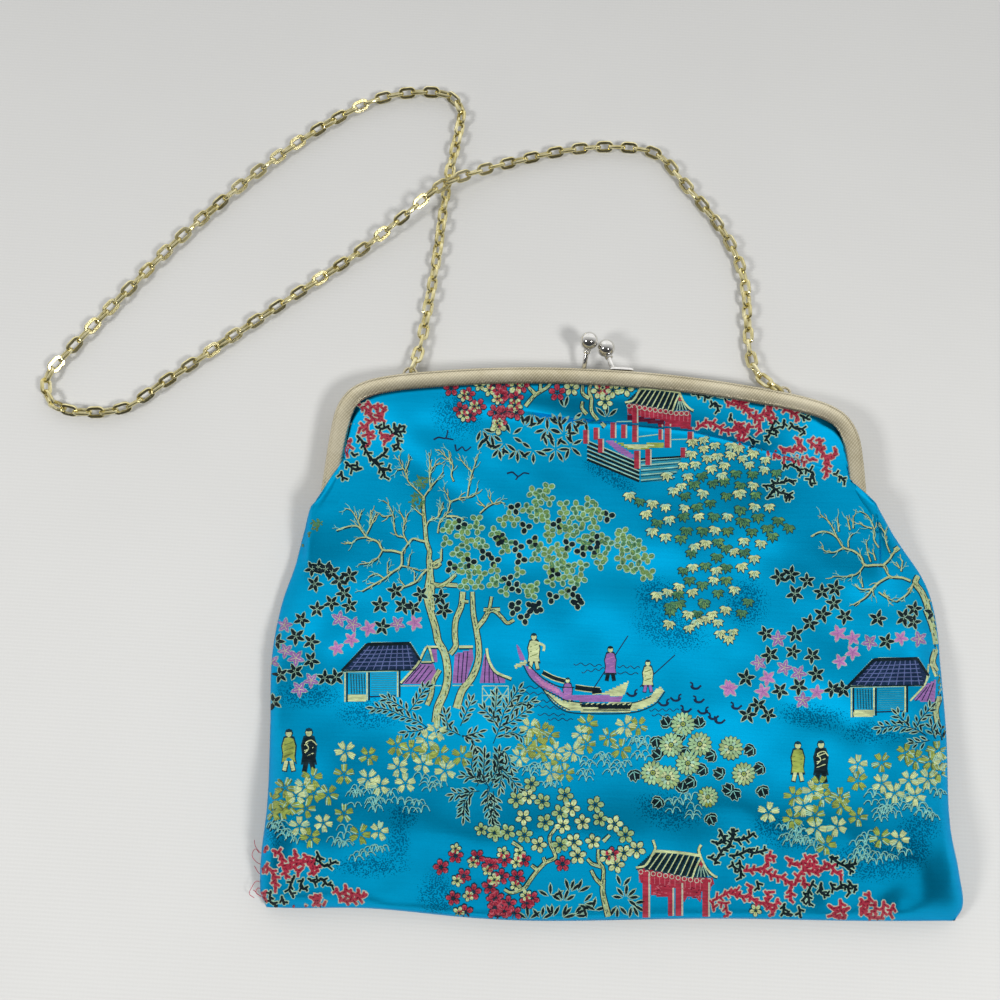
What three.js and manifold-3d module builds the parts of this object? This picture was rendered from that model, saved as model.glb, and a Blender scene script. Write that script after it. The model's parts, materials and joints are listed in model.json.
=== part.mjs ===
// Soft brocade purse on an arched metal channel frame, lying on its back.
// Millimetres, +Z up. +Y runs from the bottom of the bag to the frame, +X to the right.
// The origin lies on the flat underside of the bag.
import * as THREE from 'three';
import * as BufferGeometryUtils from 'three/addons/utils/BufferGeometryUtils.js';
import Module from 'manifold-3d';

const wasm = await Module();
wasm.setup();
const { Manifold, Mesh: SolidMesh } = wasm;

// ---------------------------------------------------------------- driving sizes
const GAP = 0.3;             // clearance between neighbouring pieces
const CLOTH = 1.2;           // thickness of the cloth wall
const SEAM_OUT = 0.3;        // how far the sewn edge stands out from the seam line
const SEAM_IN = 1.5;         // how far the seam reaches into the bag

const FRAME_BASE = 0.6;      // underside of the frame above the table
const FRAME_DEPTH = 5.6;     // depth of one half of the frame
const FRAME_BAND = 6.4;      // width of the visible band
const FRAME_PLATE = 0.8;     // sheet thickness of the channel
const FRAME_LIP = 5.4;       // width of the flange where the halves meet
const FRAME_STEPS = 36;      // sections along the frame
const ARM_END_Y = 46.5;      // lower ends of the arms

const SLOT_DEEP = 2.2;       // cloth edge in the channel, measured from the rim
const SLOT_OUT = 7.6;        // where the cloth leaves the channel
const SLOT_Z = 9.2;          // middle of the front channel
const MOUTH_Z = 9.4;         // front cloth where it leaves the channel
const MOUTH_S = 0.78;        // share of each panel's width that is held by the frame

const HINGE_R = 2.1;         // hidden hinge barrel
const HINGE_LEN = 6.0;

const EYELET_R = 2.3;        // soldered chain eyelets
const EYELET_WIRE = 0.5;
const EYELET_X = 67.6;
const EYELET_Z = 4.1;

const BALL_R = 3.05;         // clasp balls
const STEM_R = 0.95;
const COLLAR_R = 1.5;
const COLLAR_H = 1.5;

const LINK_PITCH = 4.83;     // chain
const LINK_WIDTH = 4.5;
const LINK_WIRE = 1.1;
const SEAM_HOLD = 8;          // how quickly the swing of a side seam fades into the panel
const LINK_BITE = 0.2;       // how deep neighbouring links are joined
const LINK_ROLL = 18;        // degrees that a flat link leans
const CHAIN_Z = 2.45;        // centre of the chain above the table
const CHAIN_BREAKS = [0.12, 0.29, 0.41, 0.57, 0.8];   // where the chain is divided into runs

const MID_Z = FRAME_BASE + FRAME_DEPTH + GAP / 2;   // plane between the two halves
const TOP_Z = 2 * MID_Z - FRAME_BASE;               // front face of the frame

// ---------------------------------------------------------------- tables
// outer rim of the frame, right half
const FRAME_PATH = [
  { x: 0, y: 98.2 }, { x: 20, y: 97.8 }, { x: 40, y: 96.4 }, { x: 58, y: 94.3 }, { x: 73, y: 91.9 },
  { x: 82, y: 89.3 }, { x: 87.2, y: 86.2 }, { x: 90.4, y: 82 }, { x: 92.2, y: 77 }, { x: 93.1, y: 69.5 },
  { x: 94.3, y: ARM_END_Y },
];
// side seams from the bottom corners to the hinges
const SIDE_SEAMS = [
  { t: 0, lx: -99.2, ly: -88.0, rx: 119.6, ry: -79.8, z: 2.6 },
  { t: 0.05, lx: -101.5, ly: -83.5, rx: 122.0, ry: -75.0, z: 2.8 },
  { t: 0.13, lx: -102.2, ly: -73.0, rx: 120.6, ry: -66.0, z: 3.0 },
  { t: 0.25, lx: -101.9, ly: -57.0, rx: 118.2, ry: -52.0, z: 3.2 },
  { t: 0.45, lx: -104.0, ly: -32.0, rx: 119.2, ry: -25.0, z: 3.4 },
  { t: 0.62, lx: -106.0, ly: -9.0, rx: 118.6, ry: -2.0, z: 3.6 },
  { t: 0.75, lx: -104.6, ly: 9.0, rx: 118.6, ry: 13.0, z: 3.8 },
  { t: 0.84, lx: -100.8, ly: 20.0, rx: 117.0, ry: 27.0, z: 4.2 },
  { t: 0.93, lx: -99.4, ly: 33.0, rx: 109.6, ry: 40.0, z: 5.0 },
  { t: 1, lx: -98.0, ly: 41.5, rx: 99.8, ry: 49.5, z: 5.8 },
];
// bottom seam, with the tuck left of the middle
const BOTTOM_SEAM = [
  { s: -1, x: -99.2, y: -88.0 }, { s: -0.83, x: -81.0, y: -87.7 }, { s: -0.72, x: -68.5, y: -84.9 },
  { s: -0.58, x: -53.0, y: -87.0 }, { s: -0.3, x: -22.0, y: -88.3 }, { s: 0.05, x: 14.0, y: -85.4 },
  { s: 0.3, x: 42.0, y: -83.1 }, { s: 0.7, x: 84.0, y: -81.9 }, { s: 1, x: 119.6, y: -79.8 },
];
// the cloth edge past the channel: the front billows over the arm ends, the back passes under the hinge
// (dx, dy, dz: the turned-in edge)
const FRONT_EDGE = [
  { s: -1, x: -98.0, y: 41.5, z: 5.8, dx: 0.2, dy: 1.2, dz: 0.5 },
  { s: -0.98, x: -96.6, y: 43.4, z: 11.0, dx: -0.8, dy: 0.8, dz: -0.7 },
  { s: -0.95, x: -92.2, y: 47.6, z: 13.8, dx: -0.9, dy: 0.9, dz: -0.5 },
  { s: -0.91, x: -87.4, y: 53.8, z: 14.4, dx: -0.7, dy: 1.1, dz: -0.4 },
  { s: -0.87, x: -84.0, y: 58.2, z: 13.8, dx: -0.3, dy: 1.4, dz: -0.4 },
  { s: -0.83, x: -83.6, y: 61.8, z: 11.4, dx: -0.2, dy: 1.2, dz: -0.8 },
  { s: 0.83, x: 82.6, y: 64.8, z: 11.4, dx: 0.2, dy: 1.2, dz: -0.8 },
  { s: 0.87, x: 83.4, y: 61.8, z: 13.8, dx: 0.3, dy: 1.4, dz: -0.4 },
  { s: 0.91, x: 87.0, y: 58.6, z: 14.4, dx: 0.6, dy: 1.2, dz: -0.4 },
  { s: 0.95, x: 92.2, y: 54.8, z: 14.2, dx: 0.8, dy: 1.0, dz: -0.5 },
  { s: 0.98, x: 97.4, y: 52.0, z: 11.6, dx: 0.8, dy: 0.8, dz: -0.7 },
  { s: 1, x: 99.8, y: 49.5, z: 5.8, dx: -0.2, dy: 1.2, dz: 0.5 },
];
const BACK_EDGE = [
  { s: -1, x: -98.0, y: 41.5, z: 5.8, dx: 0.2, dy: 1.2, dz: 0.5 },
  { s: -0.98, x: -93.8, y: 38.8, z: 3.8, dx: 0, dy: 0.9, dz: 0.4 },
  { s: -0.95, x: -87.6, y: 39.6, z: 2.6, dx: -0.2, dy: 0.9, dz: 0.5 },
  { s: -0.91, x: -83.4, y: 46.0, z: 2.4, dx: -0.5, dy: 0.6, dz: 0.5 },
  { s: -0.87, x: -83.2, y: 53.5, z: 2.6, dx: -0.5, dy: 0.8, dz: 0.4 },
  { s: -0.83, x: -83.8, y: 60.5, z: 3.0, dx: -0.3, dy: 1.4, dz: 0.2 },
  { s: 0.83, x: 83.4, y: 60.5, z: 3.0, dx: 0.3, dy: 1.4, dz: 0.2 },
  { s: 0.87, x: 82.6, y: 52.5, z: 2.6, dx: 0.5, dy: 0.8, dz: 0.4 },
  { s: 0.91, x: 83.0, y: 45.0, z: 2.4, dx: 0.4, dy: 0.6, dz: 0.5 },
  { s: 0.95, x: 89.2, y: 38.4, z: 2.6, dx: 0.2, dy: 0.9, dz: 0.5 },
  { s: 0.98, x: 97.8, y: 42.0, z: 4.0, dx: 0, dy: 0.6, dz: 0.4 },
  { s: 1, x: 99.8, y: 49.5, z: 5.8, dx: -0.2, dy: 1.2, dz: 0.5 },
];
// where the front lies over an arm: the line from the arm's inner edge to its rim
const COVER = [
  { side: -1, xIn: 86.0, yIn: 58.0, xOut: 94.4, yOut: 43.0 },
  { side: 1, xIn: 86.0, yIn: 60.0, xOut: 94.4, yOut: 53.0 },
];
// how full the front is, from the bottom seam to the frame
const FULLNESS = [
  { t: 0, h: 8.5 }, { t: 0.2, h: 9.5 }, { t: 0.45, h: 11.0 }, { t: 0.68, h: 12.5 }, { t: 0.85, h: 10.0 },
  { t: 1, h: 6.0 },
];
// folds of the front: dent along a line, and the billow on its lower side
const FOLDS = [
  { x0: -46, y0: 83, x1: 20, y1: 75, width: 6, dent: 2.6, billow: 1.8 },
  { x0: 20, y0: 75, x1: 86, y1: 57, width: 6, dent: 2.6, billow: 1.8 },
  { x0: -99, y0: 23, x1: -80, y1: 27, width: 6, dent: 1.8, billow: 0.9 },
  { x0: -30, y0: 22, x1: 58, y1: 29, width: 11, dent: 1.5, billow: 0.8 },
  { x0: 62, y0: 36, x1: 82, y1: 30, width: 7, dent: 1.6, billow: 0.8 },
  { x0: 84, y0: 47, x1: 105, y1: 33, width: 7, dent: 1.4, billow: 1.0 },
  { x0: 76, y0: -23, x1: 101, y1: -26, width: 7, dent: 1.4, billow: 0.7 },
  { x0: 89, y0: -27, x1: 76, y1: -38, width: 7, dent: 1.2, billow: 0.6 },
  { x0: -68, y0: -86, x1: -50, y1: -76, width: 7, dent: 2.4, billow: 0.8 },
  { x0: -94, y0: -60, x1: -92, y1: -80, width: 7, dent: 1.2, billow: 0.6 },
];
const COLUMNS = [0, 0.1, 0.2, 0.3, 0.4, 0.5, 0.58, 0.66, 0.72, 0.78, 0.83, 0.87, 0.91, 0.95, 0.98, 1];
const ROWS = [0, 0.025, 0.06, 0.11, 0.17, 0.24, 0.31, 0.38, 0.45, 0.52, 0.59, 0.66, 0.73, 0.8, 0.86, 0.91, 0.95, 0.98, 1];
// route of the chain on the table, from the left eyelet to the right one (up: height above its rest)
const CHAIN_ROUTE = [
  { x: -65.3, y: 104.2, up: 0.6 }, { x: -63.9, y: 115.6, up: 0 }, { x: -61.4, y: 144.0, up: 0 }, { x: -60.1, y: 168.0, up: 0 },
  { x: -58.9, y: 181.0, up: 0 }, { x: -57, y: 196, up: 0 }, { x: -56.4, y: 207.5, up: 0 }, { x: -61, y: 213.3, up: 0 },
  { x: -70, y: 214.8, up: 0 }, { x: -88.7, y: 210.8, up: 0 }, { x: -108.3, y: 198.2, up: 0 }, { x: -131.6, y: 177.0, up: 0 },
  { x: -160.1, y: 144.4, up: 0 }, { x: -177.3, y: 120.8, up: 0 }, { x: -193, y: 98.4, up: 0 }, { x: -199.8, y: 87, up: 0 },
  { x: -197.1, y: 78.2, up: 0 }, { x: -188, y: 74.8, up: 0 }, { x: -170, y: 77, up: 0 }, { x: -156.7, y: 87.9, up: 0 },
  { x: -128.4, y: 112, up: 0 }, { x: -94.2, y: 140.8, up: 0 }, { x: -74, y: 158.6, up: 3.4 }, { x: -61.5, y: 170.6, up: 5.1 },
  { x: -48, y: 178.6, up: 3.2 }, { x: -33, y: 186, up: 0 }, { x: -9.3, y: 192.8, up: 0 }, { x: 8, y: 194.3, up: 0 },
  { x: 20.5, y: 192, up: 0 }, { x: 31.5, y: 179.3, up: 0 }, { x: 46.8, y: 158.8, up: 0 }, { x: 53.6, y: 142, up: 0 },
  { x: 55.1, y: 124, up: 0 }, { x: 55.8, y: 111, up: 0 }, { x: 58.6, y: 102.4, up: 0.5 },
];

// ---------------------------------------------------------------- small helpers
const lerp = (a, b, q) => a + (b - a) * q;
const clamp = (v, a, b) => Math.min(b, Math.max(a, v));
const V = (x, y, z) => new THREE.Vector3(x, y, z);

// smooth curve through one column of a table, keyed by another column
function along(rows, key, col, q) {
  let i = 0;
  while (i < rows.length - 2 && q > rows[i + 1][key]) i++;
  const k = (n) => rows[clamp(n, 0, rows.length - 1)];
  const slope = (n) => (k(n + 1)[col] - k(n - 1)[col]) / (k(n + 1)[key] - k(n - 1)[key]);
  const a = rows[i], b = rows[i + 1], h = b[key] - a[key], u = clamp((q - a[key]) / h, 0, 1);
  const u2 = u * u, u3 = u2 * u;
  return (2 * u3 - 3 * u2 + 1) * a[col] + (u3 - 2 * u2 + u) * h * slope(i)
    + (-2 * u3 + 3 * u2) * b[col] + (u3 - u2) * h * slope(i + 1);
}

function geometryOf(points, triangles) {
  const g = new THREE.BufferGeometry();
  g.setAttribute('position', new THREE.BufferAttribute(new Float32Array(points.flatMap((p) => [p.x, p.y, p.z])), 3));
  let volume = 0;
  for (const [a, b, c] of triangles) volume += points[a].dot(V(0, 0, 0).crossVectors(points[b], points[c]));
  g.setIndex((volume < 0 ? triangles.map(([a, b, c]) => [a, c, b]) : triangles).flat());
  return g;
}

function bare(geometry) {
  const g = geometry.clone();
  for (const n of Object.keys(g.attributes)) if (n !== 'position') g.deleteAttribute(n);
  return BufferGeometryUtils.mergeVertices(g, 1e-4);
}

function solid(geometry) {
  const g = bare(geometry);
  return new Manifold(new SolidMesh({
    numProp: 3, vertProperties: new Float32Array(g.attributes.position.array), triVerts: new Uint32Array(g.index.array),
  }));
}

function joined(geometries) {
  const m = Manifold.union(geometries.map(solid)).getMesh();
  const g = new THREE.BufferGeometry();
  const p = new Float32Array(m.numVert * 3);
  for (let i = 0; i < m.numVert; i++) for (let c = 0; c < 3; c++) p[3 * i + c] = m.vertProperties[i * m.numProp + c];
  g.setAttribute('position', new THREE.BufferAttribute(p, 3));
  g.setIndex(Array.from(m.triVerts));
  return g;
}

function piece(name, geometry, color, metalness, roughness) {
  geometry.computeVertexNormals();
  const mesh = new THREE.Mesh(geometry, new THREE.MeshStandardMaterial({ color, metalness, roughness }));
  mesh.name = name;
  return mesh;
}

// round bar between two points
function bar(a, b, radius, sides) {
  const g = new THREE.CylinderGeometry(radius, radius, a.distanceTo(b), sides);
  g.applyQuaternion(new THREE.Quaternion().setFromUnitVectors(V(0, 1, 0), b.clone().sub(a).normalize()));
  return g.translate((a.x + b.x) / 2, (a.y + b.y) / 2, (a.z + b.z) / 2);
}

// ---------------------------------------------------------------- frame
const rim = (() => {
  const half = FRAME_PATH.map((r) => V(r.x, r.y, 0));
  const all = [...half.slice(1).reverse().map((p) => V(-p.x, p.y, 0)), ...half];
  const curve = new THREE.CatmullRomCurve3(all, false, 'centripetal');
  curve.arcLengthDivisions = 800;
  return curve;
})();

// point of the rim at w (-1 left arm end, +1 right arm end), moved inward
function rimPoint(w, inset, z) {
  const u = clamp((w + 1) / 2, 0, 1);
  const p = rim.getPointAt(u), d = rim.getTangentAt(u);
  return V(p.x + d.y * inset, p.y - d.x * inset, z);
}

// w at which an arm passes a given height
function rimAtY(side, y) {
  let lo = 0, hi = 1;
  for (let i = 0; i < 40; i++) {
    const m = (lo + hi) / 2;
    if (rimPoint(side * m, 0, 0).y > y) lo = m; else hi = m;
  }
  return side * (lo + hi) / 2;
}

// channel section of the front half: a runs inward from the rim
function channel() {
  const z0 = MID_Z + GAP / 2, z1 = TOP_Z;
  return [
    { a: 0, z: z0 }, { a: 0, z: z1 - 1.3 }, { a: 1.1, z: z1 - 0.25 }, { a: 3.4, z: z1 }, { a: 5.7, z: z1 - 0.3 },
    { a: FRAME_BAND, z: z1 - 1.0 }, { a: 5.8, z: z1 - 1.1 }, { a: FRAME_PLATE, z: z1 - 1.2 },
    { a: FRAME_PLATE, z: z0 + FRAME_PLATE }, { a: FRAME_LIP, z: z0 + FRAME_PLATE }, { a: FRAME_LIP, z: z0 },
  ];
}

function frameHalf(back) {
  const section = channel().map((c) => ({ a: c.a, z: back ? 2 * MID_Z - c.z : c.z }));
  const n = section.length, points = [], triangles = [];
  for (let i = 0; i <= FRAME_STEPS; i++) {
    const w = (2 * i) / FRAME_STEPS - 1;
    for (const c of section) points.push(rimPoint(w, c.a, c.z));
  }
  for (let i = 0; i < FRAME_STEPS; i++) for (let j = 0; j < n; j++) {
    const a = i * n + j, b = i * n + ((j + 1) % n);
    triangles.push([a, b, b + n], [a, b + n, a + n]);
  }
  const faces = THREE.ShapeUtils.triangulateShape(section.map((c) => new THREE.Vector2(c.a, c.z)), []);
  const flat = section.map((c) => new THREE.Vector2(c.a, c.z));
  const ccw = !THREE.ShapeUtils.isClockWise(flat);
  const last = FRAME_STEPS * n;
  for (const [a, b, c] of faces) {
    if (ccw) triangles.push([a, c, b].map((k) => k), [last + a, last + b, last + c]);
    else triangles.push([a, b, c], [last + a, last + c, last + b]);
  }
  return geometryOf(points, triangles);
}

function eyelet(side) {
  const y = rimPoint(rimAtX(side * EYELET_X), 0, 0).y + EYELET_R + 0.05;
  return { x: side * EYELET_X, y, z: EYELET_Z };
}

function rimAtX(x) {
  let lo = -1, hi = 1;
  for (let i = 0; i < 40; i++) {
    const m = (lo + hi) / 2;
    if (rimPoint(m, 0, 0).x < x) lo = m; else hi = m;
  }
  return (lo + hi) / 2;
}

function eyeletRing(side) {
  const c = eyelet(side);
  return new THREE.TorusGeometry(EYELET_R, EYELET_WIRE, 6, 14).translate(c.x, c.y, c.z);
}

function hinge(side) {
  const x = side * (rimPoint(side, 0, 0).x * side - FRAME_BAND / 2), y = ARM_END_Y - HINGE_R - 2 * GAP;
  return bar(V(x - HINGE_LEN / 2, y, MID_Z), V(x + HINGE_LEN / 2, y, MID_Z), HINGE_R, 14);
}

// ---------------------------------------------------------------- clasp
function claspArm(ball, bend, root, foot) {
  const out = ball.clone().sub(bend).normalize();
  const collarEnd = ball.clone().addScaledVector(out, -(BALL_R - 0.5));
  const collarStart = collarEnd.clone().addScaledVector(out, -COLLAR_H);
  return joined([
    new THREE.SphereGeometry(BALL_R, 16, 10).translate(ball.x, ball.y, ball.z),
    bar(collarStart, collarEnd, COLLAR_R, 10),
    bar(bend, collarEnd, STEM_R, 8),
    bar(root, bend, STEM_R, 8),
    new THREE.SphereGeometry(STEM_R, 8, 5).translate(bend.x, bend.y, bend.z),
    new THREE.BoxGeometry(foot.x1 - foot.x0, foot.y1 - foot.y0, foot.z1 - foot.z0)
      .translate((foot.x0 + foot.x1) / 2, (foot.y0 + foot.y1) / 2, (foot.z0 + foot.z1) / 2),
  ]);
}

const RIM_TOP = FRAME_PATH[0].y + GAP;
function claspFront() {
  return claspArm(V(2.7, 107.6, 8.0), V(4.5, 101.2, 9.2), V(5.2, RIM_TOP + 0.7, 9.3),
    { x0: 4.0, x1: 12.8, y0: RIM_TOP, y1: RIM_TOP + 0.9, z0: 7.6, z1: 10.9 });
}
function claspBack() {
  return claspArm(V(-3.7, 109.1, 10.2), V(-4.7, 102.0, 6.2), V(-5.0, RIM_TOP + 0.7, 4.1),
    { x0: -8.4, x1: -2.2, y0: RIM_TOP, y1: RIM_TOP + 0.9, z0: 2.6, z1: 5.6 });
}

// ---------------------------------------------------------------- bag
const MOUTH_L = rimAtY(-1, 66.5), MOUTH_R = rimAtY(1, 69);

// upper edge of a panel: held in the channel in the middle, free past it
function panelTop(back, s, deep) {
  if (Math.abs(s) <= MOUTH_S + 1e-9) {
    const w = s < 0 ? MOUTH_L * (-s / MOUTH_S) : MOUTH_R * (s / MOUTH_S);
    const z = deep ? SLOT_Z : MOUTH_Z;
    return rimPoint(w, deep ? SLOT_DEEP : SLOT_OUT, back ? 2 * MID_Z - z : z);
  }
  const edge = (back ? BACK_EDGE : FRONT_EDGE).find((r) => Math.abs(r.s - s) < 1e-6);
  return deep ? V(edge.x + edge.dx, edge.y + edge.dy, edge.z + edge.dz) : V(edge.x, edge.y, edge.z);
}

function seamSide(left, t) {
  return V(along(SIDE_SEAMS, 't', left ? 'lx' : 'rx', t), along(SIDE_SEAMS, 't', left ? 'ly' : 'ry', t),
    along(SIDE_SEAMS, 't', 'z', t));
}
const seamBottom = (s) => V(along(BOTTOM_SEAM, 's', 'x', s), along(BOTTOM_SEAM, 's', 'y', s), SIDE_SEAMS[0].z);

// rounded rise of a soft edge
const rise = (d, reach) => Math.sqrt(1 - (1 - clamp(d / reach, 0, 1)) ** 2);

function foldHeight(x, y) {
  let z = 0;
  for (const f of FOLDS) {
    const ux = f.x1 - f.x0, uy = f.y1 - f.y0, len = Math.hypot(ux, uy);
    const k = ((x - f.x0) * ux + (y - f.y0) * uy) / (len * len);
    const ends = Math.exp(-(((k - clamp(k, 0.1, 0.9)) * len) ** 2) / (f.width * f.width * 2));
    let d = ((x - f.x0) * uy - (y - f.y0) * ux) / len;
    if (ux < 0) d = -d;
    z += ends * (f.billow * Math.exp(-(((d - 1.6 * f.width) / (1.3 * f.width)) ** 2)) - f.dent * Math.exp(-((d / (0.75 * f.width)) ** 2)));
  }
  return z;
}

// middle surface of a panel between its seams and its upper edge
function panelPoint(back, s, t) {
  const e = (s + 1) / 2;
  const b = seamBottom(s), top = panelTop(back, s, false), l = seamSide(true, t), r = seamSide(false, t);
  const c00 = seamBottom(-1), c10 = seamBottom(1), c01 = panelTop(back, -1, false), c11 = panelTop(back, 1, false);
  const at = (k) => lerp(b[k], top[k], t) + (l[k] - lerp(c00[k], c01[k], t)) * (1 - e) ** SEAM_HOLD
    + (r[k] - lerp(c10[k], c11[k], t)) * e ** SEAM_HOLD;
  const p = V(at('x'), at('y'), at('z'));
  const side = (1 - Math.abs(s)) * 108, low = t * 170, high = (1 - t) * 150;
  const inside = rise(side, 30) * rise(low, 26);
  if (back) {
    // flat on the table, rising to the seams and to the channel
    const flat = smooth(clamp(Math.min(side / 13, low / 12, high / 34), 0, 1));
    p.z = lerp(p.z, CLOTH / 2, flat);
    return t < 1 ? besideArm(p, true) : p;
  }
  p.z += along(FULLNESS, 't', 'h', t) * inside * smooth(clamp(high / 30, 0, 1)) ** 0.8;
  p.z += foldHeight(p.x, p.y) * smooth(clamp(Math.min(side / 12, low / 8, high / 14), 0, 1));
  return t < 1 ? besideArm(p, false) : p;
}
const smooth = (q) => q * q * (3 - 2 * q);

// keeps a panel clear of the arms: beside them, or over them where the front billows
function besideArm(p, back) {
  const side = Math.sign(p.x), x = Math.abs(p.x);
  if (p.y < ARM_END_Y - 1.2 || p.y > 84) return p;
  const outer = side * rimPoint(rimAtY(side, Math.max(p.y, ARM_END_Y + 0.05)), 0, 0).x, inner = outer - FRAME_BAND - 2.2;
  if (x < inner || x > outer + 1.6) return p;
  const c = COVER.find((r) => r.side === side);
  const edge = lerp(c.yIn, c.yOut, clamp((x - c.xIn) / (c.xOut - c.xIn), 0, 1));
  if (!back && p.y <= edge) p.z = Math.max(p.z, TOP_Z + CLOTH / 2 + 6 * GAP);
  else p.x = side * inner;
  return p;
}

function bagBody() {
  const cols = [...COLUMNS.slice(1).reverse().map((s) => -s), ...COLUMNS], rows = ROWS;
  const nc = cols.length, nr = rows.length + 1;             // the last row is the edge in the channel
  const grid = (back) => rows.map((t) => cols.map((s) => panelPoint(back, s, t))).concat([cols.map((s) => panelTop(back, s, true))]);
  const normals = (g, back) => g.map((row, j) => row.map((p, i) => {
    const du = g[j][Math.min(i + 1, nc - 1)].clone().sub(g[j][Math.max(i - 1, 0)]);
    const dv = g[Math.min(j + 1, nr - 1)][i].clone().sub(g[Math.max(j - 1, 0)][i]);
    return du.cross(dv).normalize().multiplyScalar(back ? -1 : 1);
  }));
  const panels = [grid(false), grid(true)];
  const norms = [normals(panels[0], false), normals(panels[1], true)];
  const points = [], triangles = [], index = [[], []];      // index[layer][side][j][i], layer 0 outer, 1 inner
  const onSeam = (j, i) => j === 0 || i === 0 || i === nc - 1;
  for (let layer = 0; layer < 2; layer++) for (let side = 0; side < 2; side++) {
    index[layer][side] = panels[side].map((row, j) => row.map((p, i) => {
      if (side === 1 && onSeam(j, i)) return index[layer][0][j][i];
      if (onSeam(j, i)) {
        const jj = j === 0 ? 1 : j, ii = i === 0 ? 1 : i === nc - 1 ? nc - 2 : i;
        const out = p.clone().sub(panels[0][jj][ii].clone().add(panels[1][jj][ii]).multiplyScalar(0.5));
        out.z = 0;
        out.normalize().multiplyScalar(layer ? -SEAM_IN : SEAM_OUT);
        return points.push(p.clone().add(out)) - 1;
      }
      return points.push(p.clone().addScaledVector(norms[side][j][i], (layer ? -1 : 1) * CLOTH / 2)) - 1;
    }));
  }
  for (let layer = 0; layer < 2; layer++) for (let side = 0; side < 2; side++) {
    const k = index[layer][side], turn = layer !== side;
    for (let j = 0; j < nr - 1; j++) for (let i = 0; i < nc - 1; i++) {
      const a = k[j][i], b = k[j][i + 1], c = k[j + 1][i + 1], d = k[j + 1][i];
      for (const f of [[a, b, c], [a, c, d]]) {
        if (new Set(f).size === 3) triangles.push(turn ? [f[0], f[2], f[1]] : f);
      }
    }
  }
  for (let side = 0; side < 2; side++) {
    const o = index[0][side][nr - 1], n = index[1][side][nr - 1];
    for (let i = 0; i < nc - 1; i++) {
      for (const f of [[o[i], o[i + 1], n[i + 1]], [o[i], n[i + 1], n[i]]]) triangles.push(side ? [f[0], f[2], f[1]] : f);
    }
  }
  return geometryOf(points, triangles);
}

// ---------------------------------------------------------------- chain
// one link between two joints: flat-sided ring of square wire
function link(from, to, startReach, endReach, roll) {
  const axis = to.clone().sub(from), chord = axis.length();
  axis.normalize();
  const side = V(0, 0, 1).cross(axis).normalize(), up = axis.clone().cross(side);
  const wide = side.clone().multiplyScalar(Math.cos(roll)).addScaledVector(up, Math.sin(roll));
  const thick = axis.clone().cross(wide);
  const x0 = -startReach, x1 = chord + endReach, xm = (x0 + x1) / 2, b = (LINK_WIDTH - LINK_WIRE) / 2;
  const path = [[x1, 0.72 * b], [xm, b], [x0, 0.72 * b], [x0, -0.72 * b], [xm, -b], [x1, -0.72 * b]];
  const n = path.length, points = [], triangles = [];
  for (let i = 0; i < n; i++) {
    const p = path[(i + n - 1) % n], q = path[i], r = path[(i + 1) % n];
    const d1 = new THREE.Vector2(q[0] - p[0], q[1] - p[1]).normalize(), d2 = new THREE.Vector2(r[0] - q[0], r[1] - q[1]).normalize();
    const m = new THREE.Vector2(d1.y + d2.y, -(d1.x + d2.x)).normalize();
    const k = (LINK_WIRE / 2) / (m.x * d1.y - m.y * d1.x);
    for (const [o, h] of [[1, 1], [1, -1], [-1, -1], [-1, 1]]) {
      points.push(from.clone().addScaledVector(axis, q[0] + m.x * k * o).addScaledVector(wide, q[1] + m.y * k * o)
        .addScaledVector(thick, h * LINK_WIRE / 2));
    }
  }
  for (let i = 0; i < n; i++) for (let j = 0; j < 4; j++) {
    const a = i * 4 + j, b2 = i * 4 + ((j + 1) % 4), c = ((i + 1) % n) * 4 + ((j + 1) % 4), d = ((i + 1) % n) * 4 + j;
    triangles.push([a, b2, c], [a, c, d]);
  }
  return geometryOf(points, triangles);
}

function chainRuns() {
  const bite = (LINK_WIRE - LINK_BITE) / 2, clear = (LINK_WIRE + 1.3 * GAP) / 2;
  const inEye = EYELET_R - EYELET_WIRE - 1.5 * GAP - LINK_WIRE / 2;    // end wire inside the eyelet
  const near = (side, next) => {
    const c = eyelet(side), e = V(c.x, c.y, c.z);
    const d = V(next.x - c.x, next.y - c.y, 0).normalize();
    return e.addScaledVector(d, inEye + bite);
  };
  const first = CHAIN_ROUTE[0], last = CHAIN_ROUTE[CHAIN_ROUTE.length - 1];
  const route = [near(-1, first), ...CHAIN_ROUTE.map((r) => V(r.x, r.y, CHAIN_Z + r.up)), near(1, last)];
  const curve = new THREE.CatmullRomCurve3(route, false, 'centripetal');
  curve.arcLengthDivisions = 4000;
  let count = Math.round(curve.getLength() / LINK_PITCH);
  if (count % 2 === 0) count -= 1;                           // both end links stand upright in their eyelets
  const joints = curve.getSpacedPoints(count);
  for (const p of joints) p.z = Math.max(p.z, CHAIN_Z);
  const runOf = (i) => CHAIN_BREAKS.filter((b) => i >= Math.round(b * count)).length;
  const runs = Array.from({ length: CHAIN_BREAKS.length + 1 }, () => []);
  for (let i = 0; i < count; i++) {
    const start = i > 0 && runOf(i - 1) !== runOf(i) ? clear : bite;
    const end = i < count - 1 && runOf(i + 1) !== runOf(i) ? clear : bite;
    const endLink = i === 0 || i === count - 1;
    const roll = i % 2 === 0 ? (endLink ? 90 : 90 + LINK_ROLL) : LINK_ROLL;
    runs[runOf(i)].push(link(joints[i], joints[i + 1], start, end, THREE.MathUtils.degToRad(roll)));
  }
  return runs.map(joined);
}

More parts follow.
